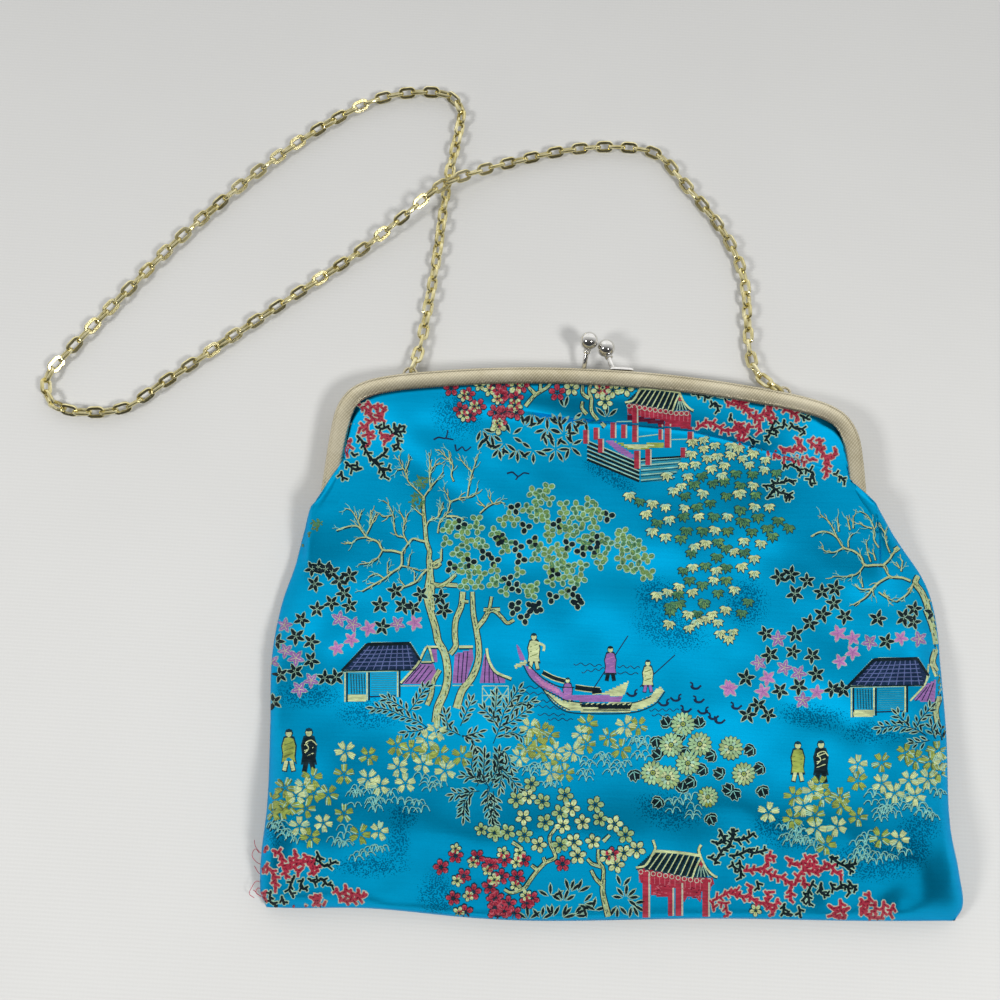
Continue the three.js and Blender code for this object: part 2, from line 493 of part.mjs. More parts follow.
// ---------------------------------------------------------------- assembly
const purse = new THREE.Group();
purse.name = 'purse';
purse.add(piece('bag_body', bagBody(), 0x0a86b8, 0, 0.55));
purse.add(piece('frame_front', frameHalf(false), 0xc8b888, 0.9, 0.4));
purse.add(piece('frame_back', joined([frameHalf(true), eyeletRing(-1), eyeletRing(1)]), 0xc4b484, 0.9, 0.4));
purse.add(piece('hinge_left', bare(hinge(-1)), 0xb8a878, 0.9, 0.45));
purse.add(piece('hinge_right', bare(hinge(1)), 0xb8a878, 0.9, 0.45));
purse.add(piece('clasp_front', claspFront(), 0xd8d8d6, 1, 0.15));
purse.add(piece('clasp_back', claspBack(), 0xd4d4d2, 1, 0.15));
chainRuns().forEach((g, i) => purse.add(piece(`chain_run_${i + 1}`, g, 0xd2c37e, 0.95, 0.3)));

export default purse;
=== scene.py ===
import json
import math
import random

import bmesh
import bpy
import numpy as np
from mathutils import Matrix, Vector
from mathutils.bvhtree import BVHTree

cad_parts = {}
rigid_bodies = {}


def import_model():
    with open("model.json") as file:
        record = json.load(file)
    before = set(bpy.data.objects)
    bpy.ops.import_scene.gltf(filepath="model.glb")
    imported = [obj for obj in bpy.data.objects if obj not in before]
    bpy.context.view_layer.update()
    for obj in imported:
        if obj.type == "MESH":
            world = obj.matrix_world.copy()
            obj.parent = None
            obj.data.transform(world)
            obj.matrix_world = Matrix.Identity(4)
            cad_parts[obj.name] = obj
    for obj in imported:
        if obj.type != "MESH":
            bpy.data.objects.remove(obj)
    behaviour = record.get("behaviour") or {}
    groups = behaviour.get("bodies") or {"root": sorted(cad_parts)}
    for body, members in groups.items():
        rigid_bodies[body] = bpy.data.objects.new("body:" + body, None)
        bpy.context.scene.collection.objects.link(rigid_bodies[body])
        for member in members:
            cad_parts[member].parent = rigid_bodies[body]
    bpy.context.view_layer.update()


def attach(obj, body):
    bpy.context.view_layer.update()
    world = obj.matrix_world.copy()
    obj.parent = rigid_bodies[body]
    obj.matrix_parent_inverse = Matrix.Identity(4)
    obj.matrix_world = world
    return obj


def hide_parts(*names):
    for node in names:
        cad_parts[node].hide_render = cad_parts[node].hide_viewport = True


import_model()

MM = 0.001
rng = np.random.default_rng(20)
random.seed(20)

# ------------------------------------------------------------------ sizes shared with the solid model (millimetres)
CLOTH = 1.2
FRAME_BASE, FRAME_DEPTH, FRAME_BAND, FRAME_LIP, FRAME_PLATE = 0.6, 5.6, 6.4, 5.4, 0.8
MID_Z, TOP_Z, GAP = 6.35, 12.1, 0.3
ARM_END_Y = 44.6
SLOT_DEEP, SLOT_OUT, SLOT_Z, MOUTH_Z, MOUTH_S = 2.2, 7.6, 9.2, 9.4, 0.78
SEAM_HOLD, SEAM_OUT, SEAM_IN = 8, 0.3, 1.5

FRAME_PATH = [(0, 98.2), (20, 97.8), (40, 96.4), (58, 94.3), (73, 91.9), (82, 89.3), (87.2, 86.2), (90.4, 82),
              (92.2, 77), (93.1, 69.5), (94.4, ARM_END_Y)]
SIDE_SEAMS = np.array([  # t, left x, left y, right x, right y, z
    (0, -99.2, -88.0, 119.6, -79.8, 2.6), (0.05, -101.5, -83.5, 122.0, -75.0, 2.8), (0.13, -102.2, -73.0, 120.6, -66.0, 3.0),
    (0.25, -101.9, -57.0, 118.2, -52.0, 3.2), (0.45, -104.0, -32.0, 119.2, -25.0, 3.4), (0.62, -106.0, -9.0, 118.6, -2.0, 3.6),
    (0.75, -104.6, 9.0, 118.2, 13.0, 3.8), (0.84, -101.6, 21.0, 115.2, 27.0, 4.2), (0.93, -99.4, 33.0, 107.0, 39.6, 5.0),
    (1, -96.2, 42.0, 98.4, 51.6, 5.8)])
BOTTOM_SEAM = np.array([  # s, x, y
    (-1, -99.2, -88.0), (-0.83, -81.0, -87.7), (-0.72, -68.5, -84.9), (-0.58, -53.0, -87.0), (-0.3, -22.0, -88.3),
    (0.05, 14.0, -85.4), (0.3, 42.0, -83.1), (0.7, 84.0, -81.9), (1, 119.6, -79.8)])
FRONT_EDGE = np.array([  # s, x, y, z, and the turned-in edge
    (-1, -96.2, 42.0, 5.8, 0.2, 1.0, 0.5), (-0.98, -95.3, 42.6, 10.4, -0.5, 0.6, -0.6), (-0.95, -92.2, 46.2, 13.6, -0.7, 0.9, -0.3),
    (-0.91, -89.4, 52.0, 13.8, -0.5, 1.1, -0.4), (-0.87, -87.3, 57.6, 13.0, 0.9, 1.2, -0.9), (-0.83, -86.2, 62.8, 10.6, -0.7, 0.9, -0.9),
    (0.83, 86.3, 65.2, 10.6, 0.8, 0.9, -0.9), (0.87, 86.9, 61.2, 13.0, -0.9, 1.2, -0.9), (0.91, 89.2, 57.6, 13.9, 0.5, 1.1, -0.4),
    (0.95, 92.8, 54.4, 13.8, 0.7, 0.9, -0.3), (0.98, 96.4, 52.8, 10.8, 0.6, 0.7, -0.6), (1, 98.4, 51.6, 5.8, -0.2, 1.0, 0.5)])
BACK_EDGE = np.array([
    (-1, -96.2, 42.0, 5.8, 0.2, 1.0, 0.5), (-0.98, -93.4, 38.8, 3.8, 0, 0.9, 0.4), (-0.95, -87.6, 39.6, 2.6, -0.2, 0.9, 0.5),
    (-0.91, -83.4, 46.0, 2.4, -0.5, 0.6, 0.5), (-0.87, -83.2, 53.5, 2.6, -0.5, 0.8, 0.4), (-0.83, -83.8, 60.5, 3.0, -0.3, 1.4, 0.2),
    (0.83, 83.4, 60.5, 3.0, 0.3, 1.4, 0.2), (0.87, 82.6, 52.5, 2.6, 0.5, 0.8, 0.4), (0.91, 83.0, 45.0, 2.4, 0.4, 0.6, 0.5),
    (0.95, 89.2, 38.4, 2.6, 0.2, 0.9, 0.5), (0.98, 97.0, 43.4, 4.0, 0, 0.6, 0.4), (1, 98.4, 51.6, 5.8, -0.2, 1.0, 0.5)])
COVER = {-1: (87.0, 57.6, 94.6, 43.2), 1: (86.6, 61.6, 94.6, 53.4)}
FULLNESS = np.array([(0, 8.6), (0.09, 12.3), (0.15, 14.6), (0.19, 15.4), (0.22, 15.4), (0.26, 14.6), (0.32, 12.6), (0.38, 10.3), (0.44, 8.2), (0.494, 6.4),
                     (0.55, 4.8), (0.61, 3.4), (0.67, 2.0), (0.724, 1.1), (0.84, 1.1), (0.93, 1.9), (1, 1.2)])
# ridges (or, below zero, valleys) of the front: line, height, width of the upper and of the lower side
FOLDS = [
    ([(-76.0, 67.0), (-62.0, 58.0), (-44.0, 46.0), (-25.4, 34.0)], 1.9, 5, 11), ([(-99.6, 25.2), (-83.6, 28.5), (-71.9, 30.6)], 1.3, 7, 9),
    ([(-42.0, 26.5), (-10.9, 24.6), (15.9, 24.8), (37.7, 28.5)], 1.6, 7.5, 9), ([(53.4, 33.5), (66.2, 34.5), (80.2, 30.1)], 1.1, 6, 6.5),
    ([(69.5, 29.9), (86.1, 25.7), (105.2, 21.4)], 1.1, 4.5, 6), ([(81.9, 20.1), (107.6, 16.8)], 0.9, 4, 5), ([(20.0, 18.0), (37.0, 13.5), (58.0, 10.5)], -0.8, 9, 9),
    ([(60.6, -16.5), (78.3, -19.1), (90.3, -25.3)], 1.7, 6, 4), ([(90.3, -26.3), (112.8, -16.5)], 1.5, 6, 4), ([(-96.0, -20.0), (-60.0, -36.0), (-22.0, -40.0)], 1.2, 14, 8),
    ([(-102.3, -52.9), (-90.5, -50.4), (-75.8, -53.8)], 1.0, 7, 5), ([(-65.7, -85.1), (-54.7, -79.5), (-42.4, -72.4)], -2.0, 7, 7),
    ([(17.5, -50.4), (36.5, -46.3), (57.0, -46.4)], 0.9, 9, 6), ([(87.1, -44.7), (100.9, -53.0), (113.3, -54.7)], -1.1, 8, 8),
    ([(-101.9, -4.5), (-84.8, -10.8), (-68.5, -9.2)], 0.9, 7, 4), ([(103.3, 0.4), (113.9, -2.9)], 0.8, 5, 3),
    ([(33.6, -78.9), (36.6, -71.5)], -0.7, 4, 4), ([(-6.5, -82.1), (-8.0, -75.7)], -0.6, 4, 4), ([(76.8, -77.4), (79.4, -70.3)], -0.7, 4, 4),
    ([(99.8, -77.3), (98.6, -70.9)], -0.7, 4, 4), ([(-31.2, -82.6), (-34.6, -77.2)], -0.6, 4, 4), ([(12.0, -81.6), (14.4, -75.6)], -0.5, 3.5, 3.5),
    ([(-86.9, -84.2), (-84.0, -75.9)], -0.7, 5, 5), ([(-95.9, -73.0), (-88.4, -69.6)], -0.6, 4, 4), ([(114.4, -64.2), (106.8, -61.7)], -0.7, 4, 4),
    ([(114.1, -40.1), (106.1, -42.4)], -0.6, 4, 4), ([(-102.6, -33.6), (-95.1, -31.3)], -0.6, 4, 4), ([(-101.2, -17.6), (-93.6, -20.4)], -0.6, 4, 4),
]
# the crease under the frame, where the lower cloth laps over the upper: x, y, depth, lap, width of the step
CREASE = np.array([(-52, 85.6, 0.0, 0.0, 6.0), (-34, 82.8, 1.3, 0.3, 6.0), (-13, 80.3, 2.3, 0.9, 5.0), (8, 78.4, 3.0, 1.4, 3.0), (32, 75.7, 3.5, 1.9, 1.8),
                   (51, 71.3, 3.7, 2.3, 1.4), (65.6, 67.1, 3.6, 2.5, 1.3), (79.9, 63.0, 2.8, 2.5, 1.3), (86.5, 60.3, 1.4, 1.6, 1.6), (91, 58, 0, 0, 2)])
CHAIN_ROUTE = [
    (-65.3, 104.2, 0.6), (-63.9, 115.6, 0), (-61.4, 144.0, 0), (-60.1, 168.0, 0), (-58.9, 181.0, 0), (-57, 196, 0),
    (-56.4, 207.5, 0), (-61, 213.3, 0), (-70, 214.8, 0), (-88.7, 210.8, 0), (-108.3, 198.2, 0), (-131.6, 177.0, 0),
    (-160.1, 144.4, 0), (-177.3, 120.8, 0), (-193, 98.4, 0), (-199.8, 87, 0), (-197.1, 78.2, 0), (-188, 74.8, 0),
    (-170, 77, 0), (-156.7, 87.9, 0), (-128.4, 112, 0), (-94.2, 140.8, 0), (-74, 158.6, 3.4), (-61.5, 170.6, 5.1),
    (-48, 178.6, 3.2), (-33, 186, 0), (-9.3, 192.8, 0), (8, 194.3, 0), (20.5, 192, 0), (31.5, 179.3, 0), (46.8, 158.8, 0),
    (53.6, 142, 0), (55.1, 124, 0), (55.8, 111, 0), (58.6, 102.4, 0.5)]
CHAIN_Z, LINK_PITCH = 2.45, 4.83
EYELET_X, EYELET_R, EYELET_Z, EYELET_WIRE = 67.6, 2.3, 4.1, 0.5


# ------------------------------------------------------------------ small helpers
def smooth(q):
    q = np.clip(q, 0, 1)
    return q * q * (3 - 2 * q)


def rise(d, reach):
    return np.sqrt(np.maximum(0, 1 - (1 - np.clip(d / reach, 0, 1)) ** 2))


def along(table, col, q):
    """Smooth curve through one column of a table keyed by its first column."""
    q = np.atleast_1d(np.asarray(q, float))
    k, v = table[:, 0], table[:, col]
    i = np.clip(np.searchsorted(k, q, side="left") - 1, 0, len(k) - 2)
    up, dn = np.minimum(np.arange(len(k)) + 1, len(k) - 1), np.maximum(np.arange(len(k)) - 1, 0)
    m = (v[up] - v[dn]) / (k[up] - k[dn])
    h = k[i + 1] - k[i]
    u = np.clip((q - k[i]) / h, 0, 1)
    return ((2 * u**3 - 3 * u**2 + 1) * v[i] + (u**3 - 2 * u**2 + u) * h * m[i]
            + (-2 * u**3 + 3 * u**2) * v[i + 1] + (u**3 - u**2) * h * m[i + 1])


def catmull(points, n):
    """Centripetal curve through the points, n samples per span."""
    p = np.asarray(points, float)
    p = np.vstack([2 * p[0] - p[1], p, 2 * p[-1] - p[-2]])
    out = []
    for i in range(1, len(p) - 2):
        p0, p1, p2, p3 = p[i - 1:i + 3]
        t0 = 0.0
        t1 = t0 + max(np.linalg.norm(p1 - p0), 1e-9) ** 0.5
        t2 = t1 + max(np.linalg.norm(p2 - p1), 1e-9) ** 0.5
        t3 = t2 + max(np.linalg.norm(p3 - p2), 1e-9) ** 0.5
        t = np.linspace(t1, t2, n, endpoint=False)[:, None]
        a1 = (t1 - t) / (t1 - t0) * p0 + (t - t0) / (t1 - t0) * p1
        a2 = (t2 - t) / (t2 - t1) * p1 + (t - t1) / (t2 - t1) * p2
        a3 = (t3 - t) / (t3 - t2) * p2 + (t - t2) / (t3 - t2) * p3
        b1 = (t2 - t) / (t2 - t0) * a1 + (t - t0) / (t2 - t0) * a2
        b2 = (t3 - t) / (t3 - t1) * a2 + (t - t1) / (t3 - t1) * a3
        out.append((t2 - t) / (t2 - t1) * b1 + (t - t1) / (t2 - t1) * b2)
    out.append(p[-2][None])
    return np.vstack(out)


class Path:
    """Polyline looked up by arc length."""
    def __init__(self, pts):
        self.p = np.asarray(pts, float)
        self.s = np.concatenate([[0], np.cumsum(np.linalg.norm(np.diff(self.p, axis=0), axis=1))])
        self.length = self.s[-1]

    def at(self, d):
        d = np.asarray(d, float)
        return np.stack([np.interp(d, self.s, self.p[:, k]) for k in range(self.p.shape[1])], -1)

    def dir(self, d, e=0.35):
        v = self.at(np.clip(np.asarray(d) + e, 0, self.length)) - self.at(np.clip(np.asarray(d) - e, 0, self.length))
        return v / np.linalg.norm(v, axis=-1, keepdims=True)


def mesh_object(name, verts, faces, material, smooth_shade=True):
    me = bpy.data.meshes.new(name)
    me.from_pydata([tuple(v) for v in np.asarray(verts) * MM], [], [tuple(int(i) for i in f) for f in faces])
    me.validate()
    ob = bpy.data.objects.new(name, me)
    bpy.context.scene.collection.objects.link(ob)
    me.materials.append(material)
    if smooth_shade:
        me.polygons.foreach_set("use_smooth", [True] * len(me.polygons))
    return ob


def outward(ob):
    bm = bmesh.new()
    bm.from_mesh(ob.data)
    bmesh.ops.recalc_face_normals(bm, faces=bm.faces)
    bm.to_mesh(ob.data)
    bm.free()


# ------------------------------------------------------------------ materials
def new_material(name):
    m = bpy.data.materials.new(name)
    m.use_nodes = True
    nt = m.node_tree
    nt.nodes.clear()
    out = nt.nodes.new("ShaderNodeOutputMaterial")
    bsdf = nt.nodes.new("ShaderNodeBsdfPrincipled")
    nt.links.new(bsdf.outputs[0], out.inputs["Surface"])
    return m, nt, bsdf


def node(nt, kind, **values):
    n = nt.nodes.new(kind)
    for k, v in values.items():
        if k in n.inputs:
            n.inputs[k].default_value = v
        else:
            setattr(n, k, v)
    return n


def coords(nt, scale=(1, 1, 1), rotation=(0, 0, 0)):
    tc = nt.nodes.new("ShaderNodeTexCoord")
    mp = nt.nodes.new("ShaderNodeMapping")
    mp.inputs["Scale"].default_value = scale
    mp.inputs["Rotation"].default_value = rotation
    nt.links.new(tc.outputs["Object"], mp.inputs["Vector"])
    return mp.outputs["Vector"]


def ramp(nt, fac, stops):
    r = nt.nodes.new("ShaderNodeValToRGB")
    e = r.color_ramp.elements
    e[0].position, e[0].color = stops[0][0], (*stops[0][1], 1)
    e[1].position, e[1].color = stops[-1][0], (*stops[-1][1], 1)
    for pos, col in stops[1:-1]:
        k = e.new(pos)
        k.color = (*col, 1)
    nt.links.new(fac, r.inputs["Fac"])
    return r.outputs["Color"]


def bump(nt, bsdf, height, strength, distance):
    b = nt.nodes.new("ShaderNodeBump")
    b.inputs["Strength"].default_value = strength
    b.inputs["Distance"].default_value = distance
    nt.links.new(height, b.inputs["Height"])
    nt.links.new(b.outputs["Normal"], bsdf.inputs["Normal"])
    return b


def maths(nt, op, a, b):
    n = nt.nodes.new("ShaderNodeMath")
    n.operation = op
    for i, v in enumerate((a, b)):
        if isinstance(v, (int, float)):
            n.inputs[i].default_value = v
        else:
            nt.links.new(v, n.inputs[i])
    return n.outputs[0]


def satin():
    m, nt, b = new_material("satin_turquoise")
    v = coords(nt)
    broad = node(nt, "ShaderNodeTexNoise", Scale=38.0, Detail=3.0, Roughness=0.5)
    nt.links.new(v, broad.inputs["Vector"])
    slub = node(nt, "ShaderNodeTexNoise", Scale=1.0, Detail=2.0, Roughness=0.6)
    nt.links.new(coords(nt, (60, 1500, 60)), slub.inputs["Vector"])
    grain = node(nt, "ShaderNodeTexNoise", Scale=2300.0, Detail=1.0)
    nt.links.new(v, grain.inputs["Vector"])
    mixed = maths(nt, "ADD", maths(nt, "MULTIPLY", broad.outputs["Fac"], 0.5),
                  maths(nt, "ADD", maths(nt, "MULTIPLY", slub.outputs["Fac"], 0.25), maths(nt, "MULTIPLY", grain.outputs["Fac"], 0.25)))
    col = ramp(nt, mixed, [(0.32, (0.0, 0.315, 0.60)), (0.5, (0.0, 0.372, 0.69)), (0.7, (0.0, 0.43, 0.77))])
    shade = node(nt, "ShaderNodeAttribute")
    shade.attribute_name = "stipple"
    speck = node(nt, "ShaderNodeTexVoronoi", Scale=1800.0)
    nt.links.new(v, speck.inputs["Vector"])
    near = maths(nt, "MULTIPLY", maths(nt, "SUBTRACT", maths(nt, "MULTIPLY", shade.outputs["Fac"], 0.62), speck.outputs["Distance"]), 9.0)
    spots = nt.nodes.new("ShaderNodeMix")
    spots.data_type = "RGBA"
    nt.links.new(near, spots.inputs[0])
    nt.links.new(col, spots.inputs[6])
    spots.inputs[7].default_value = (0.0, 0.15, 0.31, 1)
    nt.links.new(spots.outputs[2], b.inputs["Base Color"])
    b.inputs["Metallic"].default_value = 0.88
    b.inputs["Roughness"].default_value = 0.28
    b.inputs["Specular IOR Level"].default_value = 0.3
    b.inputs["Specular Tint"].default_value = (0.1, 0.7, 1.0, 1)
    bump(nt, b, mixed, 0.22, 0.0003)
    return m


def thread(name, colour, spread=0.35, rough=0.5, stitch=1700.0):
    """Silk thread: rows of fine weft lines with small changes of tone."""
    m, nt, b = new_material(name)
    c = np.array(colour)
    lines = node(nt, "ShaderNodeTexNoise", Scale=1.0, Detail=1.0)
    nt.links.new(coords(nt, (400, stitch, 400)), lines.inputs["Vector"])
    tone = node(nt, "ShaderNodeTexNoise", Scale=260.0, Detail=2.0)
    nt.links.new(coords(nt), tone.inputs["Vector"])
    mixed = maths(nt, "ADD", maths(nt, "MULTIPLY", lines.outputs["Fac"], 0.55), maths(nt, "MULTIPLY", tone.outputs["Fac"], 0.45))
    col = ramp(nt, mixed, [(0.3, tuple(c * (1 - spread))), (0.5, tuple(c)), (0.72, tuple(np.minimum(1, c * (1 + spread) + 0.01)))])
    nt.links.new(col, b.inputs["Base Color"])
    b.inputs["Roughness"].default_value = rough
    dark = max(colour) < 0.1
    b.inputs["Specular IOR Level"].default_value = 0.12 if dark else 0.4
    b.inputs["Sheen Weight"].default_value = 0.0 if dark else 0.12
    b.inputs["Sheen Roughness"].default_value = 0.4
    bump(nt, b, lines.outputs["Fac"], 0.5, 0.0003)
    return m


def engraved_gold():
    m, nt, b = new_material("engraved_champagne_gold")
    fine = node(nt, "ShaderNodeTexWave", Scale=1.0, Distortion=1.2, Detail=1.0)
    fine.inputs["Detail Scale"].default_value = 1.0
    nt.links.new(coords(nt, (400, 400, 400), (0, 0, math.radians(38))), fine.inputs["Vector"])
    cross = node(nt, "ShaderNodeTexWave", Scale=1.0, Distortion=1.2, Detail=1.0)
    nt.links.new(coords(nt, (250, 250, 250), (0, 0, math.radians(-47))), cross.inputs["Vector"])
    pits = node(nt, "ShaderNodeTexNoise", Scale=420.0, Detail=3.0, Roughness=0.65)
    nt.links.new(coords(nt), pits.inputs["Vector"])
    worn = node(nt, "ShaderNodeTexNoise", Scale=55.0, Detail=2.0)
    nt.links.new(coords(nt), worn.inputs["Vector"])
    height = maths(nt, "ADD", maths(nt, "MULTIPLY", fine.outputs["Fac"], maths(nt, "ADD", 0.35, maths(nt, "MULTIPLY", cross.outputs["Fac"], 0.35))),
                   maths(nt, "MULTIPLY", pits.outputs["Fac"], 0.5))
    tone = maths(nt, "ADD", maths(nt, "MULTIPLY", height, 0.5), maths(nt, "MULTIPLY", worn.outputs["Fac"], 0.5))
    col = ramp(nt, tone, [(0.3, (0.46, 0.40, 0.255)), (0.48, (0.62, 0.56, 0.395)), (0.7, (0.75, 0.69, 0.52))])
    nt.links.new(col, b.inputs["Base Color"])
    b.inputs["Metallic"].default_value = 1.0
    b.inputs["Roughness"].default_value = 0.38
    bump(nt, b, height, 0.24, 0.0002)
    return m


def polished_gold():
    m, nt, b = new_material("pale_chain_gold")
    worn = node(nt, "ShaderNodeTexNoise", Scale=300.0, Detail=2.0)
    nt.links.new(coords(nt), worn.inputs["Vector"])
    col = ramp(nt, worn.outputs["Fac"], [(0.3, (0.58, 0.50, 0.22)), (0.5, (0.76, 0.68, 0.36)), (0.7, (0.90, 0.83, 0.52))])
    nt.links.new(col, b.inputs["Base Color"])
    b.inputs["Metallic"].default_value = 1.0
    b.inputs["Roughness"].default_value = 0.2
    return m


def nickel():
    m, nt, b = new_material("polished_nickel")
    worn = node(nt, "ShaderNodeTexNoise", Scale=700.0, Detail=2.0)
    nt.links.new(coords(nt), worn.inputs["Vector"])
    col = ramp(nt, worn.outputs["Fac"], [(0.3, (0.68, 0.67, 0.63)), (0.7, (0.82, 0.81, 0.78))])
    nt.links.new(col, b.inputs["Base Color"])
    b.inputs["Metallic"].default_value = 1.0
    b.inputs["Roughness"].default_value = 0.09
    return m


def paper():
    m, nt, b = new_material("woven_paper")
    rib = node(nt, "ShaderNodeTexWave", Scale=1.0, Distortion=1.5, Detail=2.0, bands_direction="Y")
    nt.links.new(coords(nt, (0, 250, 0)), rib.inputs["Vector"])
    warp = node(nt, "ShaderNodeTexWave", Scale=1.0, Distortion=2.5, Detail=2.0, bands_direction="X")
    nt.links.new(coords(nt, (250, 0, 0)), warp.inputs["Vector"])
    mottle = node(nt, "ShaderNodeTexNoise", Scale=16.0, Detail=4.0)
    nt.links.new(coords(nt), mottle.inputs["Vector"])
    weave = maths(nt, "ADD", maths(nt, "MULTIPLY", rib.outputs["Fac"], 0.8), maths(nt, "MULTIPLY", warp.outputs["Fac"], 0.2))
    tone = maths(nt, "ADD", maths(nt, "MULTIPLY", weave, 0.4), maths(nt, "MULTIPLY", mottle.outputs["Fac"], 0.6))
    col = ramp(nt, tone, [(0.25, (0.528, 0.531, 0.522)), (0.75, (0.552, 0.556, 0.547))])
    nt.links.new(col, b.inputs["Base Color"])
    b.inputs["Roughness"].default_value = 0.8
    b.inputs["Specular IOR Level"].default_value = 0.25
    bump(nt, b, weave, 0.09, 0.0004)
    return m


MAT_SATIN = satin()
MAT_FRAME = engraved_gold()
MAT_CHAIN = polished_gold()
MAT_NICKEL = nickel()

# ------------------------------------------------------------------ rim of the frame
_half = [np.array(p, float) for p in FRAME_PATH]
RIM = Path(catmull([(-p[0], p[1]) for p in reversed(_half[1:])] + [tuple(p) for p in _half], 60))


def rim_point(w, inset, z):
    d = (np.asarray(w, float) + 1) / 2 * RIM.length
    p, t = RIM.at(d), RIM.dir(d)
    return np.stack([p[..., 0] + t[..., 1] * inset, p[..., 1] - t[..., 0] * inset, np.broadcast_to(z, p[..., 0].shape)], -1)


_W = np.linspace(-1, 1, 4001)
_RIMXY = rim_point(_W, 0.0, 0.0)


def rim_at_y(side, y):
    k = _W * side >= 0
    w, yy = _W[k], _RIMXY[k][:, 1]
    order = np.argsort(yy)
    return float(np.interp(y, yy[order], w[order]))


def rim_x_at_y(side, y):
    k = (_W * side >= 0)
    yy, xx = _RIMXY[k][:, 1], _RIMXY[k][:, 0]
    order = np.argsort(yy)
    return np.interp(y, yy[order], xx[order])


# ------------------------------------------------------------------ the sewn bag
MOUTH_L, MOUTH_R = rim_at_y(-1, 66.5), rim_at_y(1, 69)


def panel_top(back, s, deep):
    """Upper edge of a panel: in the channel in the middle, free past it."""
    s = np.asarray(s, float)
    w = np.where(s < 0, MOUTH_L * (-s / MOUTH_S), MOUTH_R * (s / MOUTH_S))
    z = SLOT_Z if deep else MOUTH_Z
    z = 2 * MID_Z - z if back else z
    inset = SLOT_DEEP if deep else SLOT_OUT
    held = rim_point(np.clip(w, -1, 1), inset, z)
    table = BACK_EDGE if back else FRONT_EDGE
    out = held.copy()
    for side in (-1, 1):
        rows = [r for r in table if r[0] * side > 0]
        extra = [(side * q, *rim_point(side * (MOUTH_R if side > 0 else -MOUTH_L) * q / MOUTH_S, inset, z)) for q in (0.70, 0.74, 0.78)]
        free = [(r[0], r[1] + deep * r[4], r[2] + deep * r[5], r[3] + deep * r[6]) for r in rows]
        tab = np.array(sorted(extra + free))
        k = s * side > MOUTH_S
        for c in range(3):
            out[k, c] = along(tab, c + 1, s[k])
    return out


def seam_side(left, t):
    return np.stack([along(SIDE_SEAMS, 1 if left else 3, t), along(SIDE_SEAMS, 2 if left else 4, t), along(SIDE_SEAMS, 5, t)], -1)


def seam_bottom(s):
    x, y = along(BOTTOM_SEAM, 1, s), along(BOTTOM_SEAM, 2, s)
    return np.stack([x, y, np.full_like(x, SIDE_SEAMS[0, 5])], -1)


def line_offset(pts, x, y):
    """Place along an open line, distance past its ends, and signed distance from it (positive on its lower side)."""
    p = np.asarray(pts, float)[:, :2]
    best, side, gone, place = np.full(x.shape, 1e9), np.zeros(x.shape), np.zeros(x.shape), np.zeros(x.shape)
    run = 0.0
    for i, (a, b) in enumerate(zip(p[:-1], p[1:])):
        u = b - a
        ln = math.hypot(*u)
        k = ((x - a[0]) * u[0] + (y - a[1]) * u[1]) / ln
        lo, hi = (-1e9 if i == 0 else 0.0), (1e9 if i == len(p) - 2 else ln)
        kc = np.clip(k, lo, hi)
        d2 = (x - a[0] - kc * u[0] / ln) ** 2 + (y - a[1] - kc * u[1] / ln) ** 2
        sg = ((x - a[0]) * u[1] - (y - a[1]) * u[0]) / ln
        near = d2 < best
        best = np.where(near, d2, best)
        side = np.where(near, np.sign(sg) * np.sqrt(d2), side)
        gone = np.where(near, kc - np.clip(kc, 0, ln), gone)
        place = np.where(near, run + np.clip(kc, 0, ln), place)
        run += ln
    if p[-1, 0] < p[0, 0]:
        side = -side
    return place, gone, side


def fold_height(x, y):
    z = np.zeros_like(x)
    for pts, h, up, low in FOLDS:
        place, gone, d = line_offset(pts, x, y)
        total = Path(pts).length
        reach = min(0.3 * total, 12.0)
        ends = smooth((place + reach * 0.15) / reach) * smooth((total - place + reach * 0.15) / reach) * np.exp(-(gone / (0.6 * (up + low))) ** 2)
        z += h * ends * np.exp(-((d / np.where(d > 0, low, up)) ** 2))
    return z


def crease_height(x, y):
    place, gone, d = line_offset(CREASE, x, y)
    at = Path(CREASE[:, :2]).s
    deep, lap, step = (np.interp(place, at, CREASE[:, k]) for k in (2, 3, 4))
    above = -deep * np.exp(-((np.minimum(d, 0) / 6.5) ** 2))
    below = -deep + (deep + lap) * smooth(d / step) - lap * (1 - np.exp(-((np.maximum(d - step, 0) / 24.0) ** 2)))
    ends = np.exp(-(gone / 5.0) ** 2)
    over = 1.25 * lap * smooth((d + 0.4) / 1.3) * np.exp(-((np.maximum(d - 2.0, 0) / 7.0) ** 2))
    return np.where(d < 0, above, below) * ends, over * ends


_waves = [(rng.uniform(-1, 1, 2), rng.uniform(0, 2 * math.pi), lam, amp)
          for lam, amp, n in ((52, 0.24, 5), (27, 0.12, 6), (13, 0.04, 6)) for _ in range(n)]


def ripple(x, y):
    """Slight unevenness of soft cloth."""
    z = np.zeros_like(x)
    for d, ph, lam, amp in _waves:
        d = d / np.linalg.norm(d)
        z += amp * np.sin(2 * math.pi / lam * (d[0] * x + d[1] * y) + ph + 0.6 * np.sin(y / 17 + ph) + 0.5 * np.sin(x / 23 - ph))
    return z


